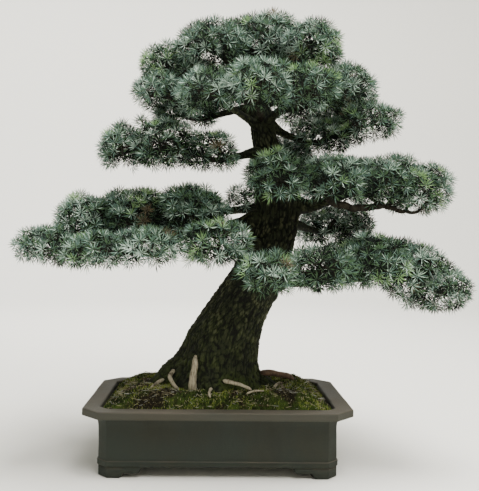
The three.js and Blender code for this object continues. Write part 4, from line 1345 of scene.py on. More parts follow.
@dataclass
class Skeleton:
    """The wood of one mass: joints, each tied to the one that it grew from.

    Attributes:
        balance: How much the way back to the foot counts where a new twig looks for its joint.
        places: Where the joints are.
        parents: The number of the joint that each grew from, or -1.
        ways: How far each is from the foot, along the wood.
        carries: Whether twigs of other sprays may start there.
        weights: How many rosettes each bears itself.
    """

    balance: float
    places: list[Array] = field(default_factory=list)
    parents: list[int] = field(default_factory=list)
    ways: list[float] = field(default_factory=list)
    carries: list[bool] = field(default_factory=list)
    weights: list[float] = field(default_factory=list)

    def add(self, place: Array, parent: int, carries: bool, weight: float = 0.0) -> int:
        """Adds a joint.

        Args:
            place: Where it is.
            parent: The number of the joint that it grew from, or -1.
            carries: Whether twigs of other sprays may start there.
            weight: How many rosettes it bears itself.

        Returns:
            Its number.
        """
        way = 0.0 if parent < 0 else self.ways[parent] + float(norm(place - self.places[parent]))
        self.places.append(place)
        self.parents.append(parent)
        self.ways.append(way)
        self.carries.append(carries)
        self.weights.append(weight)
        return len(self.places) - 1

    def nearest(self, place: Array) -> int:
        """The joint with the shortest way to a place, counting a share of the way back to the foot."""
        open_joints = np.flatnonzero(self.carries)
        there = np.array(self.places)[open_joints]
        cost = norm(there - place, axis=1) + self.balance * np.array(self.ways)[open_joints]
        return int(open_joints[np.argmin(cost)])

    def sprout(self, place: Array, share: float) -> Array:
        """Ties a rosette to the nearest joint by a twig on which others may start.

        Args:
            place: The rosette.
            share: The share of the twig's length at which its own joint lies.

        Returns:
            The way from the nearest joint to the rosette.
        """
        root = self.nearest(place)
        along = place - self.places[root]
        fork = self.add(self.places[root] + share * along, root, True)
        self.add(place, fork, False, 1.0)
        return along

    def twigs(self, thin: float, power: float, thickest: float, random: Random) -> Twigs:
        """The stretches between joints. A twig that bears n rosettes is thin n^power thick.

        Args:
            thin: Radius of a twig with one rosette.
            power: How its thickness grows.
            thickest: The largest radius.
            random: Source of the bows.

        Returns:
            The stretches.
        """
        borne = np.array(self.weights)
        parents = np.array(self.parents)
        for joint in range(len(parents) - 1, -1, -1):
            if parents[joint] >= 0:
                borne[parents[joint]] += borne[joint]
        radii = np.minimum(thin * np.maximum(borne, 1.0) ** power, thickest)
        tied = np.flatnonzero((parents >= 0) & (borne > 0))
        places = np.array(self.places)
        starts, ends = places[parents[tied]], places[tied]
        first = np.minimum(radii[parents[tied]], 1.3 * radii[tied])
        length = norm(ends - starts, axis=1, keepdims=True)
        bows = random.normal(0.0, 0.07, (len(tied), 3)) * length - 0.04 * length * UP
        return Twigs(starts, ends, np.stack([first, radii[tied]], axis=1), bows)


@dataclass
class Boughs:
    """The main boughs, each one tapering limb with bark.

    A bough runs from its parent's middle to its mass. Its two inner points lie at 33 and 68 hundredths
    of the way, lifted by the arch and by 0.6 of it. Its radius falls evenly, and swells at its foot by
    collar exp(-way outside the parent / 1.4 radii).
    """

    trunk: Trunk
    steps: int = 44
    sides: int = 26
    wander: float = 0.30
    wander_size: float = 0.035
    collar: float = 0.7
    entry: float = 0.6
    row_gap: float = 0.0028
    moss: float = 0.15
    bark: Bark = field(default_factory=lambda: Bark((0.0060, 0.013), 0.0021, 131))
    limbs: dict[str, Limb] = field(default_factory=dict)

    def __post_init__(self) -> None:
        """Works out the course of every bough."""
        masses = {mass.name: mass for mass in MASSES}
        for number, bough in enumerate(BOUGHS):
            parent = self.limbs.get(bough.parent)
            if parent is None:
                start, inside = self.trunk.section(np.array(bough.at))
            else:
                start, inside = parent.at(bough.at), np.interp(bough.at, [0, 1], parent.radii[[0, -1]])
            end = self.entry_point(masses[bough.mass], start)
            along, lift = end - start, bough.arch * UP
            points = np.array([start, start + 0.33 * along + lift, start + 0.68 * along + 0.6 * lift, end])
            t = np.linspace(0.0, 1.0, self.steps + 1)
            far = t[:, None] * norm(along)
            cells = np.hstack([far / self.wander_size, 0 * far + 3.7 * number, 0 * far])
            sway = np.stack([lattice_noise(cells, seed) for seed in (5, 6, 7)], axis=1)
            sway = sway * self.wander * bough.radii[0] * np.sin(math.pi * t)[:, None]
            plain = bough.radii[0] + t * (bough.radii[1] - bough.radii[0])
            outside = np.maximum(far[:, 0] - inside, 0.0)
            swell = self.collar * np.exp(-outside / (1.4 * bough.radii[0])) * (parent is None)
            self.limbs[bough.name] = Limb(smooth_curve(points, self.steps) + sway, plain * (1.0 + swell))

    def entry_point(self, mass: Mass, start: Array) -> Array:
        """Where a limb from a place enters a mass: on the near and lower side of its first lobe."""
        lobe = mass.lobes[0]
        middle = np.array(lobe.middle)
        toward = start - middle
        scaled = norm(toward / np.array(lobe.half))
        entry = middle + toward * min(self.entry / scaled, 0.8)
        entry[2] = min(entry[2], middle[2] - 0.28 * lobe.half[2])
        return entry

    def places(self) -> Array:
        """Places and radii of all boughs, one row each."""
        return np.concatenate([np.hstack([limb.path, limb.radii[:, None]]) for limb in self.limbs.values()])

    def carrier(self, mass: Mass) -> Limb | None:
        """The bough that carries a mass."""
        return next((self.limbs[bough.name] for bough in BOUGHS if bough.mass == mass.name), None)

    def skin(self, limb: Limb, number: int) -> Surface:
        """A bough's skin with its bark."""
        length = path_length(limb.path)
        count = max(int(length / self.row_gap), 24)
        path = smooth_curve(limb.path[::4], count)
        place = np.linspace(0.0, len(limb.radii) - 1, count + 1)
        radii = np.interp(place, np.arange(len(limb.radii)), limb.radii)
        way = np.linspace(0.0, length, count + 1)[:, None] + 10.0 * number
        relief, plate = self.bark.relief(round_axis(radii[:, None], full_turn(self.sides), way))
        scale = np.clip(radii / 0.010, 0.4, 1.0)[:, None]
        rings = path_rings(path, radii, self.sides, relief * scale)
        return tubes(rings, {"relief": plate, "moss": np.full(plate.shape, self.moss)})

    def build(self, shop: Workshop, bark: Material) -> None:
        """Makes one piece for each bough."""
        for number, (name, limb) in enumerate(self.limbs.items()):
            shop.piece(f"bough_{name}_bark", [self.skin(limb, number)], [bark], [f"bough_{name}"])


@dataclass
class Foliage:
    """Grows all masses by the rule of the solids, carried on to single rosettes of needles.

    Sites are thrown on the shells of the lobes, kept apart and joined to the nearest part of what has
    grown, as in the solids. Each site then bears a dome of rosettes in place of its one large spray.
    The needles of a zone are one piece, and its twigs are another.
    """

    trunk: Trunk
    boughs: Boughs
    seed: int = 20417
    throws: int = 300
    spacing: float = 0.9
    least_spacing: float = 0.038
    lowest: float = -0.8
    inner: float = 0.5
    balance: float = 0.35
    stem_lead: float = 0.014
    stem_gap: float = 0.022
    reach_share: float = 0.95
    least_reach: float = 0.028
    most_reach: float = 0.046
    site_share: float = 0.68
    drop: float = 0.14
    full_dome: int = 10
    least_dome: int = 5
    dome_tilt: float = 1.95
    needle_length: float = 0.0196
    needle_radius: float = 0.00076
    needles: int = 26
    widest_tilt: float = 1.9
    clearance: float = 0.005
    bough_clearance: float = 0.003
    bare_rise: float = 0.010
    fill_throws: int = 1000
    fill_height: float = 1.3
    fill_layers: tuple[Pair, ...] = ((1.0, 0.0150), (0.8, 0.0145), (0.5, 0.020))
    outer_layer: float = 0.9
    fill_margin: float = 0.009
    underside: float = -0.4
    underside_share: float = 0.6
    uneven: float = 0.009
    uneven_size: float = 0.035
    hollow: float = -0.4
    hollow_size: float = 0.026
    tuft_step: float = 0.021
    tint_size: float = 0.05
    dry_share: float = 0.006
    twig_radius: float = 0.0008
    twig_power: float = 0.4
    stout_twig: float = 0.0016

    def __post_init__(self) -> None:
        """Starts the random numbers, and lists the lobes of all masses and where the boughs are."""
        self.random: Random = np.random.default_rng(self.seed)
        self.rosettes: list[Array] = []
        self.lobes: list[tuple[Mass, Lobe]] = [(mass, lobe) for mass in MASSES for lobe in mass.lobes]
        self.owners: Array = np.array([mass.name for mass, _ in self.lobes])
        self.middles: Array = np.array([lobe.middle for _, lobe in self.lobes])
        self.halves: Array = np.array([lobe.half for _, lobe in self.lobes])
        self.limbs: Array = self.boughs.places()

    def reach(self, lobe: Lobe) -> float:
        """How far a spray of a lobe reaches: a share of its half height, between limits."""
        return float(np.clip(self.reach_share * lobe.half[2], self.least_reach, self.most_reach))

    def shell(self, lobe: Lobe) -> Array:
        """Half sizes of the shell that a lobe's sprays are centred on."""
        return np.maximum(np.array(lobe.half) - self.site_share * self.reach(lobe), 0.004)

    def depths(self, mass: Mass, places: Array) -> tuple[Array, Array]:
        """Where places lie between the middle of a lobe, 0, and its skin, 1: the least such share.

        Args:
            mass: A mass.
            places: The places.

        Returns:
            The share for the mass's own lobes, and that for the lobes of all others.
        """
        share = norm((places[:, None] - self.middles) / self.halves, axis=2)
        mine = self.owners == mass.name
        return share[:, mine].min(axis=1), share[:, ~mine].min(axis=1)

    def sites(self) -> dict[str, Sites]:
        """Throws the sites of all masses, in the order of the solids.

        A throw is middle + shell (cos a cos b, sin a cos b, sin b), lowered by a share of the reach. It
        is dropped where it lies deep in any lobe, nearer another mass, or too near an earlier one.

        Returns:
            The sites by mass.
        """
        numbers = seeded_numbers(self.seed, len(self.lobes) * self.throws * 2).reshape(-1, self.throws, 2)
        shells = np.array([self.shell(lobe) for _, lobe in self.lobes])
        taken: list[Array] = []
        found: dict[str, list[tuple[Array, Array, float]]] = {mass.name: [] for mass in MASSES}
        for number, (mass, lobe) in enumerate(self.lobes):
            rise = 1.0 + (self.lowest - 1.0) * numbers[number, :, 1]
            outward = round_axis(np.sqrt(1.0 - rise**2), 2 * math.pi * numbers[number, :, 0], rise)
            reach = self.reach(lobe)
            places = self.middles[number] + outward * shells[number] - self.drop * reach * UP
            buried = (norm((places[:, None] - self.middles) / shells, axis=2) < self.inner).any(axis=1)
            own, others = self.depths(mass, places)
            for row in np.flatnonzero(~buried & (own <= others)):
                if not self.crowded(places[row], reach, taken):
                    taken.append(np.append(places[row], reach))
                    found[mass.name].append((places[row], outward[row], reach))
        return {name: Sites(*(np.array(column) for column in zip(*rows))) for name, rows in found.items()}

    def crowded(self, place: Array, reach: float, taken: list[Array]) -> bool:
        """Whether a place is too near one that is taken, each of which is x, y, z and its reach."""
        rows = np.array(taken).reshape(-1, 4)
        least = np.maximum(self.spacing * (reach + rows[:, 3]) / 2, self.least_spacing)
        return bool((norm(rows[:, :3] - place, axis=1) < least).any())

    def is_free(self, mass: Mass, places: Array) -> Array:
        """Whether rosettes stand clear of trunk and boughs, and over the stem where it is bare below.

        Args:
            mass: The mass that they belong to.
            places: Their middles.

        Returns:
            One truth value a place.
        """
        middle, half = self.trunk.section(places[:, 2])
        apart = norm(places[:, :2] - middle[:, :2], axis=1)
        outside = (apart > half + self.clearance) | (places[:, 2] > self.trunk.stations[-1][0])
        gaps = norm(places[:, None] - self.limbs[None, :, :3], axis=2) - self.limbs[:, 3]
        stem = min(lobe.middle[2] - mass.sag * lobe.half[2] for lobe in mass.lobes)
        over = (places[:, 2] > stem + self.bare_rise) | (not mass.bare)
        return outside & (gaps >= self.bough_clearance).all(axis=1) & over

    def stem(self, mass: Mass) -> Array:
        """A mass's stem: from its bough's tip, or the trunk, through its lobes and the places beyond."""
        limb = self.boughs.carrier(mass)
        if limb is None:
            points = [self.trunk.section(np.array(mass.trunk_at))[0]]
        else:
            points = [limb.path[-1], limb.path[-1] + self.stem_lead * limb.heading]
        points += [np.array(lobe.middle) - mass.sag * lobe.half[2] * UP for lobe in mass.lobes]
        points = np.array([*points, *mass.onward])
        return smooth_curve(points, max(3, round(path_length(points) / self.stem_gap)))

    def grow(self, mass: Mass, sites: Sites) -> tuple[Skeleton, Whorls]:
        """Grows one mass.

        Args:
            mass: Its plan.
            sites: Where its sprays are.

        Returns:
            Its wood and its rosettes.
        """
        wood = Skeleton(self.balance)
        joint = -1
        for place in self.stem(mass):
            joint = wood.add(place, joint, True)
        wood.weights[joint] = mass.borne
        order = np.argsort(norm(sites.places - wood.places[0], axis=1))
        domes = [self.dome(wood, sites.places[row], sites.outward[row], sites.reaches[row]) for row in order]
        dome = [np.concatenate(column) for column in zip(*domes)]
        clear = self.is_free(mass, dome[0])
        middles, axes, lengths, joints = (column[clear] for column in dome)
        for parent, place in zip(joints, middles):
            wood.add(place, int(parent), False, 1.0)
        self.rosettes.extend(middles)
        layers = [(middles, axes, False)]
        for scale, gap in self.fill_layers:
            layers.append((*self.fill(mass, wood, scale, gap), scale < self.outer_layer))
        layers.append((*self.stray(mass, wood), False))
        deep = np.concatenate([np.full(len(places), inside) for places, _, inside in layers])
        middles, axes = (np.concatenate(column) for column in list(zip(*layers))[:2])
        short = self.needle_length * self.random.uniform(0.84, 1.04, len(middles) - len(lengths))
        # Painted shade: rosettes of the inner layers and those that face down are marked shaded, and take the
        # darkest tint.
        shaded = deep | (axes[:, 2] < self.underside)
        return wood, Whorls(middles, axes, np.concatenate([lengths, short]), shaded)

    def dome(self, wood: Skeleton, place: Array, outward: Array, reach: float) -> tuple[Array, ...]:
        """One site's twig and the dome of rosettes round its end.

        Rosettes stand on a sunflower spiral over the dome: cosine of tilt falls evenly, and each turns by
        the golden angle from the last.

        Args:
            wood: The wood so far.
            place: The site.
            outward: Its direction out of the lobe.
            reach: How far the spray reaches.

        Returns:
            Middles, axes, needle lengths, and the joints that the rosettes grow from.
        """
        parent = wood.nearest(place)
        root = wood.places[parent]
        fork = wood.add(root + 0.5 * (place - root), parent, True)
        collar = wood.add(root + 0.78 * (place - root), fork, False)
        tip = wood.add(place, collar, False)
        axis = unit(0.5 * unit(place - root) + 0.6 * outward + 0.55 * UP)
        count = round(self.full_dome * (reach / self.most_reach) ** 2)
        count = int(np.clip(count, self.least_dome, self.full_dome))
        cosine = 1.0 - (np.arange(count) + 0.5) / count * (1.0 - math.cos(self.dome_tilt))
        start = self.random.uniform(0, 2 * math.pi)
        turn = np.arange(count) * GOLDEN_TURN + start + self.random.normal(0, 0.25, count)
        headings = spokes(axis, cosine, np.sqrt(1.0 - cosine**2), turn)
        length = min(self.needle_length, 0.55 * reach + 0.002) * self.random.uniform(0.88, 1.08, count)
        out = (reach - 0.95 * length) * self.random.uniform(0.78, 1.04, count)
        axes = unit(0.75 * headings + 0.45 * UP + self.random.normal(0, 0.16, (count, 3)))
        return place + headings * out[:, None], axes, length, np.where(cosine > 0.3, tip, collar)

    def fill(self, mass: Mass, wood: Skeleton, scale: float, gap: float) -> tuple[Array, Array]:
        """Single rosettes between the domes, each on a twig of its own from the nearest wood.

        A throw is middle + (scale (half - margin) + uneven noise) outward, with more of them high up than
        low down: rise = 1 + (lowest - 1) u^height for an even u. It is dropped where it lies
        deep in another lobe, nearer another mass, on a limb, or nearer than the gap to a rosette, and in
        the hollows of a second noise that part the outermost sprays.

        Args:
            mass: The mass.
            wood: Its wood, which grows by the new twigs.
            scale: Share of the lobe at which the layer lies.
            gap: Least distance between rosettes.

        Returns:
            Middles and axes.
        """
        places, headings = [], []
        for lobe in mass.lobes:
            rise = 1.0 + (self.lowest - 1.0) * self.random.random(self.fill_throws) ** self.fill_height
            turn = self.random.uniform(0, 2 * math.pi, self.fill_throws)
            outward = round_axis(np.sqrt(1.0 - rise**2), turn, rise)
            thrown = np.array(lobe.middle) + scale * (np.array(lobe.half) - self.fill_margin) * outward
            thrown = thrown + self.uneven * lattice_noise(thrown / self.uneven_size, 157)[:, None] * outward
            own, others = self.depths(mass, thrown)
            good = (own < others) & (own > 0.5 * scale)
            good &= (scale < self.outer_layer) | (lattice_noise(thrown / self.hollow_size, 163) > self.hollow)
            good &= (rise > self.underside) | (self.random.random(self.fill_throws) < self.underside_share)
            good &= self.is_free(mass, thrown)
            good &= norm(thrown[:, None] - np.array(self.rosettes), axis=2).min(axis=1) > gap
            new = np.zeros((0, 3))
            for place, out in zip(thrown[good], outward[good]):
                if (norm(new - place, axis=1) < gap).any():
                    continue
                new = np.vstack([new, place])
                along = wood.sprout(place, 0.5)
                headings.append(unit(0.4 * unit(along) + 0.6 * out + 0.55 * UP))
            self.rosettes.extend(new)
            places.extend(new)
        return np.array(places).reshape(-1, 3), np.array(headings).reshape(-1, 3)

    def stray(self, mass: Mass, wood: Skeleton) -> tuple[Array, Array]:
        """Small sprays that stand out of a mass: three rosettes each, one behind the other.

        Args:
            mass: The mass.
            wood: Its wood, which grows by the new twigs.

        Returns:
            Middles and axes.
        """
        places, headings = [], []
        middle = np.array(mass.lobes[-1].middle)
        for tuft in TUFTS.get(mass.name, ()):
            for row in (-1.0, 0.0, 1.0):
                place = np.array(tuft) + np.array([0.0, self.tuft_step * row, 0.0])
                place = place + self.random.normal(0, 0.003, 3)
                along = wood.sprout(place, 0.55)
                places.append(place)
                headings.append(unit(0.7 * unit(along) + 0.3 * unit(place - middle) + 0.4 * UP))
        return np.array(places).reshape(-1, 3), np.array(headings).reshape(-1, 3)

    def needle_mesh(self, whorls: Whorls) -> Surface:
        """All needles of some rosettes.

        A needle is two three-sided pyramids base to base, bent towards the rosette's axis. Its tilt from
        that axis grows from the middle outwards, and each turns by the golden angle from the last.

        Args:
            whorls: The rosettes.

        Returns:
            The surface.
        """
        count = len(whorls.middles)
        shape = (count, self.needles)
        step = (np.arange(self.needles) + 0.5) / self.needles
        cosine = 0.97 + (math.cos(self.widest_tilt) - 0.97) * step
        tilt = np.arccos(cosine) + self.random.normal(0, 0.1, shape)
        turn = np.arange(self.needles) * GOLDEN_TURN + self.random.uniform(0, 2 * math.pi, (count, 1))
        turn = turn + self.random.normal(0, 0.12, shape)
        heading = spokes(whorls.axes, np.cos(tilt), np.sin(tilt), turn)
        inner = 0.72 + 0.28 * np.sin(np.clip(tilt, 0, math.pi / 2))
        length = (whorls.lengths[:, None] * inner * self.random.uniform(0.86, 1.08, shape))[..., None]
        axis = whorls.axes[:, None]
        bend = axis - (axis * heading).sum(-1, keepdims=True) * heading
        root = whorls.middles[:, None] + 0.001 * heading
        belly = (root + length * (0.5 * heading + 0.02 * bend))[..., None, :]
        end = root + length * (0.98 * heading + 0.16 * bend)
        around = spokes(heading, np.zeros(3), np.ones(3), full_turn(3))
        points = [root[..., None, :], belly + self.needle_radius * around, end[..., None, :]]
        pattern = ((0, 2, 1), (0, 3, 2), (0, 1, 3), (4, 1, 2), (4, 2, 3), (4, 3, 1))
        faces = repeated_faces(count * self.needles, 5, pattern)
        tints = np.repeat(self.tints(whorls, cosine).ravel(), len(pattern))
        return Surface(np.concatenate(points, axis=-2).reshape(-1, 3), [faces], [tints])

    def tints(self, whorls: Whorls, cosine: Array) -> Array:
        """Deals out tints: by rosette, with paler young needles in the middle of some, and the darkest tint
        as painted shade on shaded rosettes and on needles that point back.

        Args:
            whorls: The rosettes.
            cosine: Cosine of each needle's tilt in a rosette.

        Returns:
            The tint's number for each needle of each rosette.
        """
        count = len(whorls.middles)
        glaucous, blue, green, deep, young, dry = (tint.number for tint in Needle)
        places = whorls.middles / self.tint_size
        drift = 0.6 * layered_noise(places, 71, 2) + self.random.normal(0, 0.5, count)
        whole = np.select([drift > 0.6, drift > -0.1, drift > -0.6], [glaucous, blue, green], deep)
        # Painted shade: rosettes in the mass's shade take the darkest tint whole.
        whole = np.where(whorls.shaded, deep, whole)
        whole = np.where(self.random.random(count) < self.dry_share, dry, whole)[:, None]
        uneven = self.random.random((count, len(cosine)))
        tints = np.clip(whole + (uneven < 0.28) * 1 - (uneven > 0.76) * 1, glaucous, deep)
        # Painted shade: needles that point back, under the rosette, take the darkest tint.
        tints = np.where(whole == dry, dry, np.where(cosine < -0.08, deep, tints))
        sprout = layered_noise(places, 83, 2) + self.random.normal(0, 0.35, count)
        least = np.select([whorls.shaded, sprout > 1.0, sprout > 0.7], [2.0, 0.1, 0.55], 2.0)
        return np.where(cosine > least[:, None], young, tints)

    def twig_mesh(self, twigs: Twigs) -> list[Surface]:
        """Twigs as tubes on place(t) = start + t (end - start) + 4 t (1 - t) bow.

        Thin ones have three sides and two steps, and thick ones seven sides and six steps.

        Args:
            twigs: The stretches.

        Returns:
            One surface for the thin ones and one for the thick ones.
        """
        thick = twigs.radii.max(axis=1) > self.stout_twig
        made = []
        for chosen, sides, steps in ((~thick, 3, 2), (thick, 7, 6)):
            t = np.linspace(0.0, 1.0, steps + 1)[None, :, None]
            start, end, bow = twigs.starts[chosen, None], twigs.ends[chosen, None], twigs.bows[chosen, None]
            radii = twigs.radii[chosen]
            path = start + t * (end - start) + 4 * t * (1 - t) * bow
            thickness = radii[:, :1] + t[..., 0] * (radii[:, 1:] - radii[:, :1])
            made.append(tubes(path_rings(path, thickness, sides)))
        return made

    def build(self, shop: Workshop, bark: Material) -> None:
        """Grows the masses zone by zone and makes their pieces.

        Args:
            shop: Makes the pieces.
            bark: Finish of the twigs.
        """
        sites = self.sites()
        tints = Needle.materials()
        total = 0
        for zone in Zone:
            needles, twigs, nodes = [], [], []
            for mass in (mass for mass in MASSES if mass.zone is zone):
                wood, whorls = self.grow(mass, sites[mass.name])
                needles.append(self.needle_mesh(whorls))
                stretches = wood.twigs(self.twig_radius, self.twig_power, mass.thickest, self.random)
                twigs.extend(self.twig_mesh(stretches))
                nodes.append(f"foliage_{mass.name}")
                total += len(whorls.middles)
            shop.piece(f"needles_{zone.value}", needles, tints, nodes, smooth=False)
            shop.piece(f"twigs_{zone.value}", twigs, [bark], nodes)
        LOG.info("%d rosettes of needles", total)


# Soil, moss and what lies on it.


class Ground(Palette):
    """The tints of moss shoots and litter."""

    FRESH = LeafTint("moss_fresh", srgb(128, 138, 60), 0.8, 0.15)
    GREEN = LeafTint("moss_green", srgb(68, 86, 35), 0.8, 0.15)
    DEEP = LeafTint("moss_deep", srgb(28, 36, 18), 0.85, 0.1)
    STRAW = LeafTint("litter_straw", srgb(154, 146, 116), 0.75, 0.2)
    GREY = LeafTint("litter_grey", srgb(154, 154, 144), 0.8, 0.2)
    BROWN = LeafTint("litter_brown", srgb(70, 56, 40), 0.8, 0.2)


@dataclass
class SoilBed:
    """The soil that fills the pot, mounded to the trunk and grown over with cushions of moss."""

    pot: Pot
    trunk: Trunk
    wall_inset: float = 0.0341
    floor_inset: float = 0.0443
    mound: tuple[Pair, ...] = ((0.0, 0.150), (0.735, 0.150), (0.87, 0.137), (1.0, 0.117))
    swell: float = 0.004
    swell_size: float = 0.050
    swell_seed: int = 223
    cushion: float = 0.0022
    cushion_size: float = 0.020
    crumb: float = 0.0012
    crumb_size: float = 0.0065
    patch_size: float = 0.045
    tone_size: float = 0.022
    foot: float = 0.081
    foot_level: float = 0.150
    side_level: float = 0.112
    steps: tuple[int, int, int] = (6, 84, 140)
    rows: int = 118
    innermost: float = 0.03
    shoot_radius: float = 0.0008
    shoots: int = 15000
    seed: int = 905

    def share(self, x: Array, y: Array) -> Array:
        """How far out a place lies: 0 in the middle and 1 at the wall."""
        w, d = self.pot.width / 2 - self.wall_inset, self.pot.depth / 2 - self.wall_inset
        c = self.pot.corner - self.wall_inset * (2 - math.sqrt(2))
        cut = (np.abs(x) + np.abs(y)) / (w + d - c)
        return np.maximum(np.maximum(np.abs(x) / w, np.abs(y) / d), cut)

    def moss(self, x: Array, y: Array) -> Array:
        """How much moss grows at a place, from 0 to 1."""
        patches = layered_noise(lifted(np.stack([x, y], axis=-1), 0.0) / self.patch_size, 211, 3)
        return np.clip(0.62 + 0.7 * patches, 0.0, 1.0)

    def free(self, x: Array, y: Array) -> Array:
        """How far a place lies outside the foot of the trunk."""
        angle, away = np.arctan2(y / self.trunk.flatness, x), np.hypot(x, y / self.trunk.flatness)
        return away - self.foot - self.trunk.flare(angle, self.foot_level)

    def height(self, x: Array, y: Array) -> Array:
        """Height of the soil: its mound, swells as in the solids, small cushions of moss, and crumbs.

        The swells fade towards the wall and the trunk, and the rest fades towards the wall.

        Args:
            x: Places to the right.
            y: Places to the back.

        Returns:
            The heights.
        """
        out = self.share(x, y)
        table = np.array(self.mound)
        steps = out[..., None] + np.linspace(-0.05, 0.05, 5)
        mound = np.interp(np.clip(steps, 0.0, 1.0), table[:, 0], table[:, 1]).mean(axis=-1)
        flat = lifted(np.stack([x, y], axis=-1), 0.0)
        swell = self.swell * lattice_noise(flat / self.swell_size, self.swell_seed)
        swell = swell * ease((self.free(x, y) - 0.004) / 0.016) * ease((1.0 - out) / 0.1)
        cushions = self.cushion * layered_noise(flat / self.cushion_size, 229, 2) * (0.4 + self.moss(x, y))
        crumbs = self.crumb * layered_noise(flat / self.crumb_size, 227, 3)
        return mound + swell + (cushions + crumbs) * (0.35 + 0.65 * ease((1.0 - out) / 0.1))

    def surface(self) -> Surface:
        """Rings of the wall's outline, shrunk towards the middle and lifted to the soil's height."""
        outline = self.pot.outline(self.wall_inset, self.steps)
        bottom = self.pot.outline(self.floor_inset, self.steps)
        top = outline * np.linspace(1.0, self.innermost, self.rows)[:, None, None]
        rings = lifted(top, self.height(top[..., 0], top[..., 1]))
        side = lifted(outline, self.side_level)
        floor = lifted(bottom, self.pot.floor + 0.0003)
        rings = np.concatenate([floor[None], side[None], rings])
        return tubes(rings, {"moss": self.moss(rings[..., 0], rings[..., 1])})

    def scatter(self, count: int, random: Random) -> Array:
        """Places on the soil outside the trunk, spread evenly.

        Args:
            count: How many are thrown, before those in the trunk are dropped.
            random: Source of the throws.

        Returns:
            Places on the surface.
        """
        w, d = self.pot.width / 2 - self.wall_inset, self.pot.depth / 2 - self.wall_inset
        x, y = random.uniform(-w, w, count), random.uniform(-d, d, count)
        free = (self.share(x, y) < 0.985) & (self.free(x, y) > -0.002)
        x, y = x[free], y[free]
        return np.stack([x, y, self.height(x, y)], axis=1)

    def shoot_mesh(self) -> Surface:
        """Moss shoots: slim three-sided pyramids that lean at random, with their feet in the soil."""
        random = np.random.default_rng(self.seed)
        feet = self.scatter(self.shoots * 3, random)
        feet = feet[random.random(len(feet)) < self.moss(feet[:, 0], feet[:, 1]) - 0.25][: self.shoots]
        count = len(feet)
        lean = random.normal(0, 0.4, (count, 3)) * (1.0 - UP) + UP
        tall = random.uniform(0.002, 0.0055, count)[:, None]
        turn = random.uniform(0, 2 * math.pi, count)[:, None] + full_turn(3)
        ring = feet[:, None] + self.shoot_radius * round_axis(1.0, turn, -0.8)
        points = np.concatenate([ring, (feet + tall * unit(lean))[:, None]], axis=1)
        faces = repeated_faces(count, 4, ((0, 2, 1), (0, 1, 3), (1, 2, 3), (2, 0, 3)))
        tone = random.random(count) + 0.7 * layered_noise(feet / self.tone_size, 91, 2)
        fresh, green, deep, straw = (tint.number for tint in list(Ground)[:4])
        tint = np.select([tone > 0.8, tone > 0.35], [fresh, green], deep)
        tint = np.where(random.random(count) < 0.07, straw, tint)
        return Surface(points.reshape(-1, 3), [faces], [np.repeat(tint, 4)])

    def build(self, shop: Workshop, moss: Material, tints: list[Material]) -> None:
        """Makes the bed and its shoots."""
        shop.piece("moss_bed", [self.surface()], [moss], ["soil"])
        shop.piece("moss_shoots", [self.shoot_mesh()], tints, ["soil"], smooth=False)


@dataclass
class Litter:
    """Fallen needles and bits of twig on the soil."""

    bed: SoilBed
    needles: int = 1700
    bits: int = 70
    seed: int = 1207

    def lying(self, feet: Array, length: Array, random: Random) -> Array:
        """Headings of things that lie on the soil, nearly level."""
        turn = random.uniform(0, 2 * math.pi, len(feet))
        rise = random.normal(0.08, 0.2, len(feet))
        return unit(round_axis(1.0, turn, rise)) * length[:, None]

    def paths(self, count: int, lengths: Pair, random: Random) -> Array:
        """Slightly bent courses of four places each, resting on the soil.

        Args:
            count: How many are thrown.
            lengths: Shortest and longest.
            random: Source of what varies.

        Returns:
            Places by course.
        """
        feet = self.bed.scatter(count, random)
        length = random.uniform(*lengths, len(feet))
        heading = self.lying(feet, length, random)
        t = np.linspace(-0.5, 0.5, 4)[None, :, None]
        bend = random.normal(0, 0.06, (len(feet), 1, 3)) * length[:, None, None]
        path = feet[:, None] + t * heading[:, None] + (0.25 - t**2) * bend
        ends_in = (self.bed.share(path[..., 0], path[..., 1]) < 0.97).all(axis=1)
        path = path[ends_in]
        ground = self.bed.height(path[..., 0], path[..., 1])
        lift = (ground - path[..., 2]).max(axis=1) - 0.0004
        path[..., 2] += np.minimum(lift, 0.003)[:, None]
        return path

    def build(self, shop: Workshop, tints: list[Material]) -> None:
        """Makes the litter's piece."""
        random = np.random.default_rng(self.seed)
        choice = [tint.number for tint in (Ground.STRAW, Ground.GREY, Ground.BROWN)]
        made = []
        for count, lengths, radii in (
            (self.needles, (0.006, 0.016), (0.00035, 0.0005)),
            (self.bits, (0.012, 0.028), (0.0007, 0.0013)),
        ):
            path = self.paths(count, lengths, random)
            thick = random.uniform(*radii, len(path))[:, None] * np.array([0.6, 1.0, 1.0, 0.5])
            surface = tubes(path_rings(path, thick, 3))
            tint = random.choice(choice, len(path), p=[0.45, 0.25, 0.3])
            surface.finishes = [np.repeat(tint, 9), np.tile(tint, 2)]
            made.append(surface)
        shop.piece("fallen_needles", made, tints, ["soil"], smooth=False)


@dataclass(frozen=True)
class DeadRoot:
    """A bare dead root.

    Attributes:
        radii: Its radius at both ends.
        points: What it runs through.
        brown: Whether it is brown and not bleached.
    """

    radii: Pair
    points: tuple[Triple, ...]
    brown: bool = False


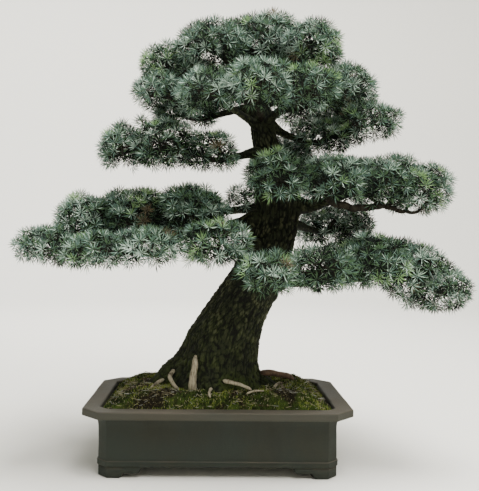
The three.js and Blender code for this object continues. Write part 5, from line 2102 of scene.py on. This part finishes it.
@dataclass
class DeadRoots:
    """Bleached roots round the foot of the trunk, and the upright stump of one."""

    stump: DeadRoot = DeadRoot((0.0084, 0.0046), (
        (-0.0475, -0.067, 0.140), (-0.0480, -0.070, 0.166), (-0.0445, -0.071, 0.195), (-0.043, -0.070, 0.216),
    ))
    roots: tuple[DeadRoot, ...] = (
        DeadRoot((0.0042, 0.0032), (
            (-0.086, -0.034, 0.181), (-0.093, -0.050, 0.170), (-0.086, -0.058, 0.158),
            (-0.074, -0.068, 0.146),
        )),
        DeadRoot((0.0034, 0.0024), (
            (-0.106, -0.034, 0.162), (-0.122, -0.056, 0.156), (-0.134, -0.068, 0.146),
        )),
        DeadRoot((0.0044, 0.0026), (
            (0.010, -0.080, 0.170), (0.026, -0.085, 0.167), (0.044, -0.086, 0.163), (0.064, -0.088, 0.154),
        )),
        DeadRoot((0.0070, 0.0042), (
            (0.085, -0.026, 0.176), (0.112, -0.022, 0.173), (0.142, -0.010, 0.165), (0.154, -0.005, 0.157),
        ), brown=True),
        DeadRoot((0.0044, 0.0030), ((-0.056, 0.078, 0.160), (-0.086, 0.094, 0.155), (-0.114, 0.099, 0.145))),
        DeadRoot((0.0040, 0.0030), ((0.046, 0.080, 0.158), (0.082, 0.094, 0.153), (0.106, 0.092, 0.145))),
        DeadRoot((0.0022, 0.0018), ((0.054, -0.097, 0.149), (0.070, -0.096, 0.154), (0.087, -0.091, 0.153))),
        DeadRoot((0.0030, 0.0024), (
            (0.104, -0.072, 0.146), (0.112, -0.060, 0.157), (0.122, -0.052, 0.160), (0.129, -0.062, 0.146),
        )),
        DeadRoot((0.0032, 0.0020), (
            (-0.012, -0.092, 0.158), (-0.016, -0.104, 0.152), (-0.014, -0.110, 0.144),
        )),
        DeadRoot((0.0022, 0.0016), ((0.118, -0.078, 0.145), (0.128, -0.086, 0.147), (0.134, -0.098, 0.139))),
    )
    sides: int = 14
    gap: float = 0.0022

    def skin(self, root: DeadRoot, number: int) -> Surface:
        """A root's skin: its radius falls evenly, with lengthwise grain, and its tip is drawn in."""
        points = np.array(root.points)
        length = path_length(points)
        count = max(int(length / self.gap), 12)
        path = smooth_curve(points, count)
        t = np.linspace(0.0, 1.0, count + 1)
        radii = root.radii[0] + t * (root.radii[1] - root.radii[0])
        radii = radii * np.sqrt(1.0 - np.clip((np.abs(t - 0.5) - 0.36) / 0.14, 0.0, 1.0) ** 2 * 0.9)
        around = round_axis(radii[:, None], full_turn(self.sides), t[:, None] * length) + 0.37 * number
        grain = layered_noise(around / np.array([0.003, 0.003, 0.02]), 61, 3)
        knobs = layered_noise(around / 0.012, 67, 2)
        relief = radii[:, None] * (0.14 * grain + 0.20 * knobs)
        surface = tubes(path_rings(path, radii, self.sides, relief))
        surface.finishes = [int(root.brown)] * 2
        return surface

    def build(self, shop: Workshop, finishes: list[Material]) -> None:
        """Makes the stump's piece and that of the other roots."""
        shop.piece("dead_root_stump", [self.skin(self.stump, 0)], finishes[:1], ["trunk"])
        others = [self.skin(root, number) for number, root in enumerate(self.roots, 1)]
        shop.piece("dead_surface_roots", others, finishes, ["trunk"])


# Stage and camera.


@dataclass
class Studio:
    """A pale bowl-shaped stage, soft light, and a camera at the photograph's place."""

    shift: Vector
    floor_radius: float = 3.4
    wall_rise: float = 2.2
    wall_height: float = 4.2
    wall_sides: int = 96
    eye: Triple = (-0.010, -1.382, 0.437)
    focal_pixels: float = 684.0
    frame_pixels: tuple[int, int] = (479, 491)
    sensor: float = 36.0
    aim_pixels: Pair = (213.5, 240.0)
    roll: float = math.radians(0.40)

    def stage(self) -> bpy.types.Object:
        """The stage: a level floor that curves up into a round wall."""
        turn = np.linspace(0.0, math.pi / 2, 18)
        out = np.concatenate([[0.2, 1.2, 2.4], self.floor_radius + self.wall_rise * np.sin(turn)])
        up = np.concatenate([[0.0] * 3, self.wall_rise * (1.0 - np.cos(turn))])
        out, up = np.append(out, out[-1]), np.append(up, self.wall_height)
        rings = round_axis(out[:, None], full_turn(self.wall_sides), up[:, None] - 0.0004)
        corner = np.arange(len(out) * self.wall_sides).reshape(len(out), -1)
        turned = np.roll(corner, -1, axis=1)
        quads = np.stack([corner[:-1], corner[1:], turned[1:], turned[:-1]], axis=-1).reshape(-1, 4)
        mesh = bpy.data.meshes.new("stage")
        mesh.from_pydata(rings.reshape(-1, 3).tolist(), [], [*quads.tolist(), corner[0].tolist()])
        mesh.polygons.foreach_set("use_smooth", np.full(len(mesh.polygons), True))
        shader = Shader("stage_plaster", 0.9, 0.1)
        shader.put(shader.surface, {"Base Color": srgb(238, 236, 228)})
        mesh.materials.append(shader.material)
        made = bpy.data.objects.new("stage", mesh)
        bpy.context.scene.collection.objects.link(made)
        return made

    def lamp(self, name: str, place: Triple, aim: Vector, size: float, power: float, colour: Triple) -> None:
        """A square soft lamp.

        Args:
            name: Its name.
            place: Where it hangs.
            aim: The place that it faces.
            size: Length of its side.
            power: Its power in watts.
            colour: Its light.
        """
        light = bpy.data.lights.new(name, "AREA")
        light.size = size
        light.energy = power
        light.color = colour
        made = bpy.data.objects.new(name, light)
        made.location = place
        made.rotation_euler = (aim - made.location).to_track_quat("-Z", "Y").to_euler()
        bpy.context.scene.collection.objects.link(made)

    def light(self) -> None:
        """Overcast light: a pale sky, a broad lamp overhead, a weaker one in front, one on the backdrop."""
        world = bpy.data.worlds.new("sky")
        world.use_nodes = True
        sky = world.node_tree.nodes["Background"]
        sky.inputs["Color"].default_value = (0.86, 0.93, 1.0, 1.0)
        sky.inputs["Strength"].default_value = 0.24
        bpy.context.scene.world = world
        plant = Vector((0.0, 0.0, 0.45))
        self.lamp("overhead", (0.6, -0.3, 3.25), plant, 1.7, 230.0, (1.0, 0.99, 0.96))
        self.lamp("front", (0.8, -1.9, 3.0), plant, 1.5, 95.0, (1.0, 0.98, 0.95))
        self.lamp("backdrop", (-0.8, 1.6, 3.2), Vector((-0.6, 5.4, 1.6)), 2.2, 260.0, (1.0, 1.0, 1.0))

    def camera(self) -> bpy.types.Object:
        """The camera. It looks level along +Y and is rolled a little.

        The photograph is cropped off its middle, so the lens is shifted by the way from the middle of
        the frame to the pixel that lies straight ahead.

        Returns:
            The camera.
        """
        wide, high = self.frame_pixels
        data = bpy.data.cameras.new("camera")
        data.sensor_width = self.sensor
        data.lens = self.focal_pixels * self.sensor / high
        data.shift_x = (wide / 2 - self.aim_pixels[0]) / high
        data.shift_y = (self.aim_pixels[1] - high / 2) / high
        data.clip_start, data.clip_end = 0.05, 60.0
        made = bpy.data.objects.new("camera", data)
        level = Matrix.Rotation(math.pi / 2, 4, "X")
        place = Matrix.Translation(Vector(self.eye) + self.shift)
        made.matrix_world = place @ level @ Matrix.Rotation(self.roll, 4, "Z")
        bpy.context.scene.collection.objects.link(made)
        bpy.context.scene.camera = made
        return made

    def build(self) -> None:
        """Sets up stage, light and camera."""
        self.stage()
        self.light()
        self.camera()


def main() -> None:
    """Builds the plant and its stage."""
    logging.basicConfig(level=logging.INFO, format="%(name)s: %(message)s")
    shop = Workshop.from_frame()
    Studio(shop.shift).build()
    bark = BarkFinish().material()
    brown_wood = DeadwoodFinish("brown_dead_wood", srgb(84, 66, 52), srgb(56, 44, 34), srgb(36, 30, 24))
    dead_wood = [DeadwoodFinish().material(), brown_wood.material()]
    ground = Ground.materials()
    pot = Pot()
    trunk = Trunk()
    boughs = Boughs(trunk)
    bed = SoilBed(pot, trunk)
    pot.build(shop, ClayFinish().material())
    bed.build(shop, MossFinish().material(), ground)
    Litter(bed).build(shop, ground)
    trunk.build(shop, bark)
    DeadRoots().build(shop, dead_wood)
    boughs.build(shop, bark)
    Foliage(trunk, boughs).build(shop, TwigFinish().material())
    LOG.info("%d triangles in all", shop.triangles)


if __name__ == "__main__":
    main()
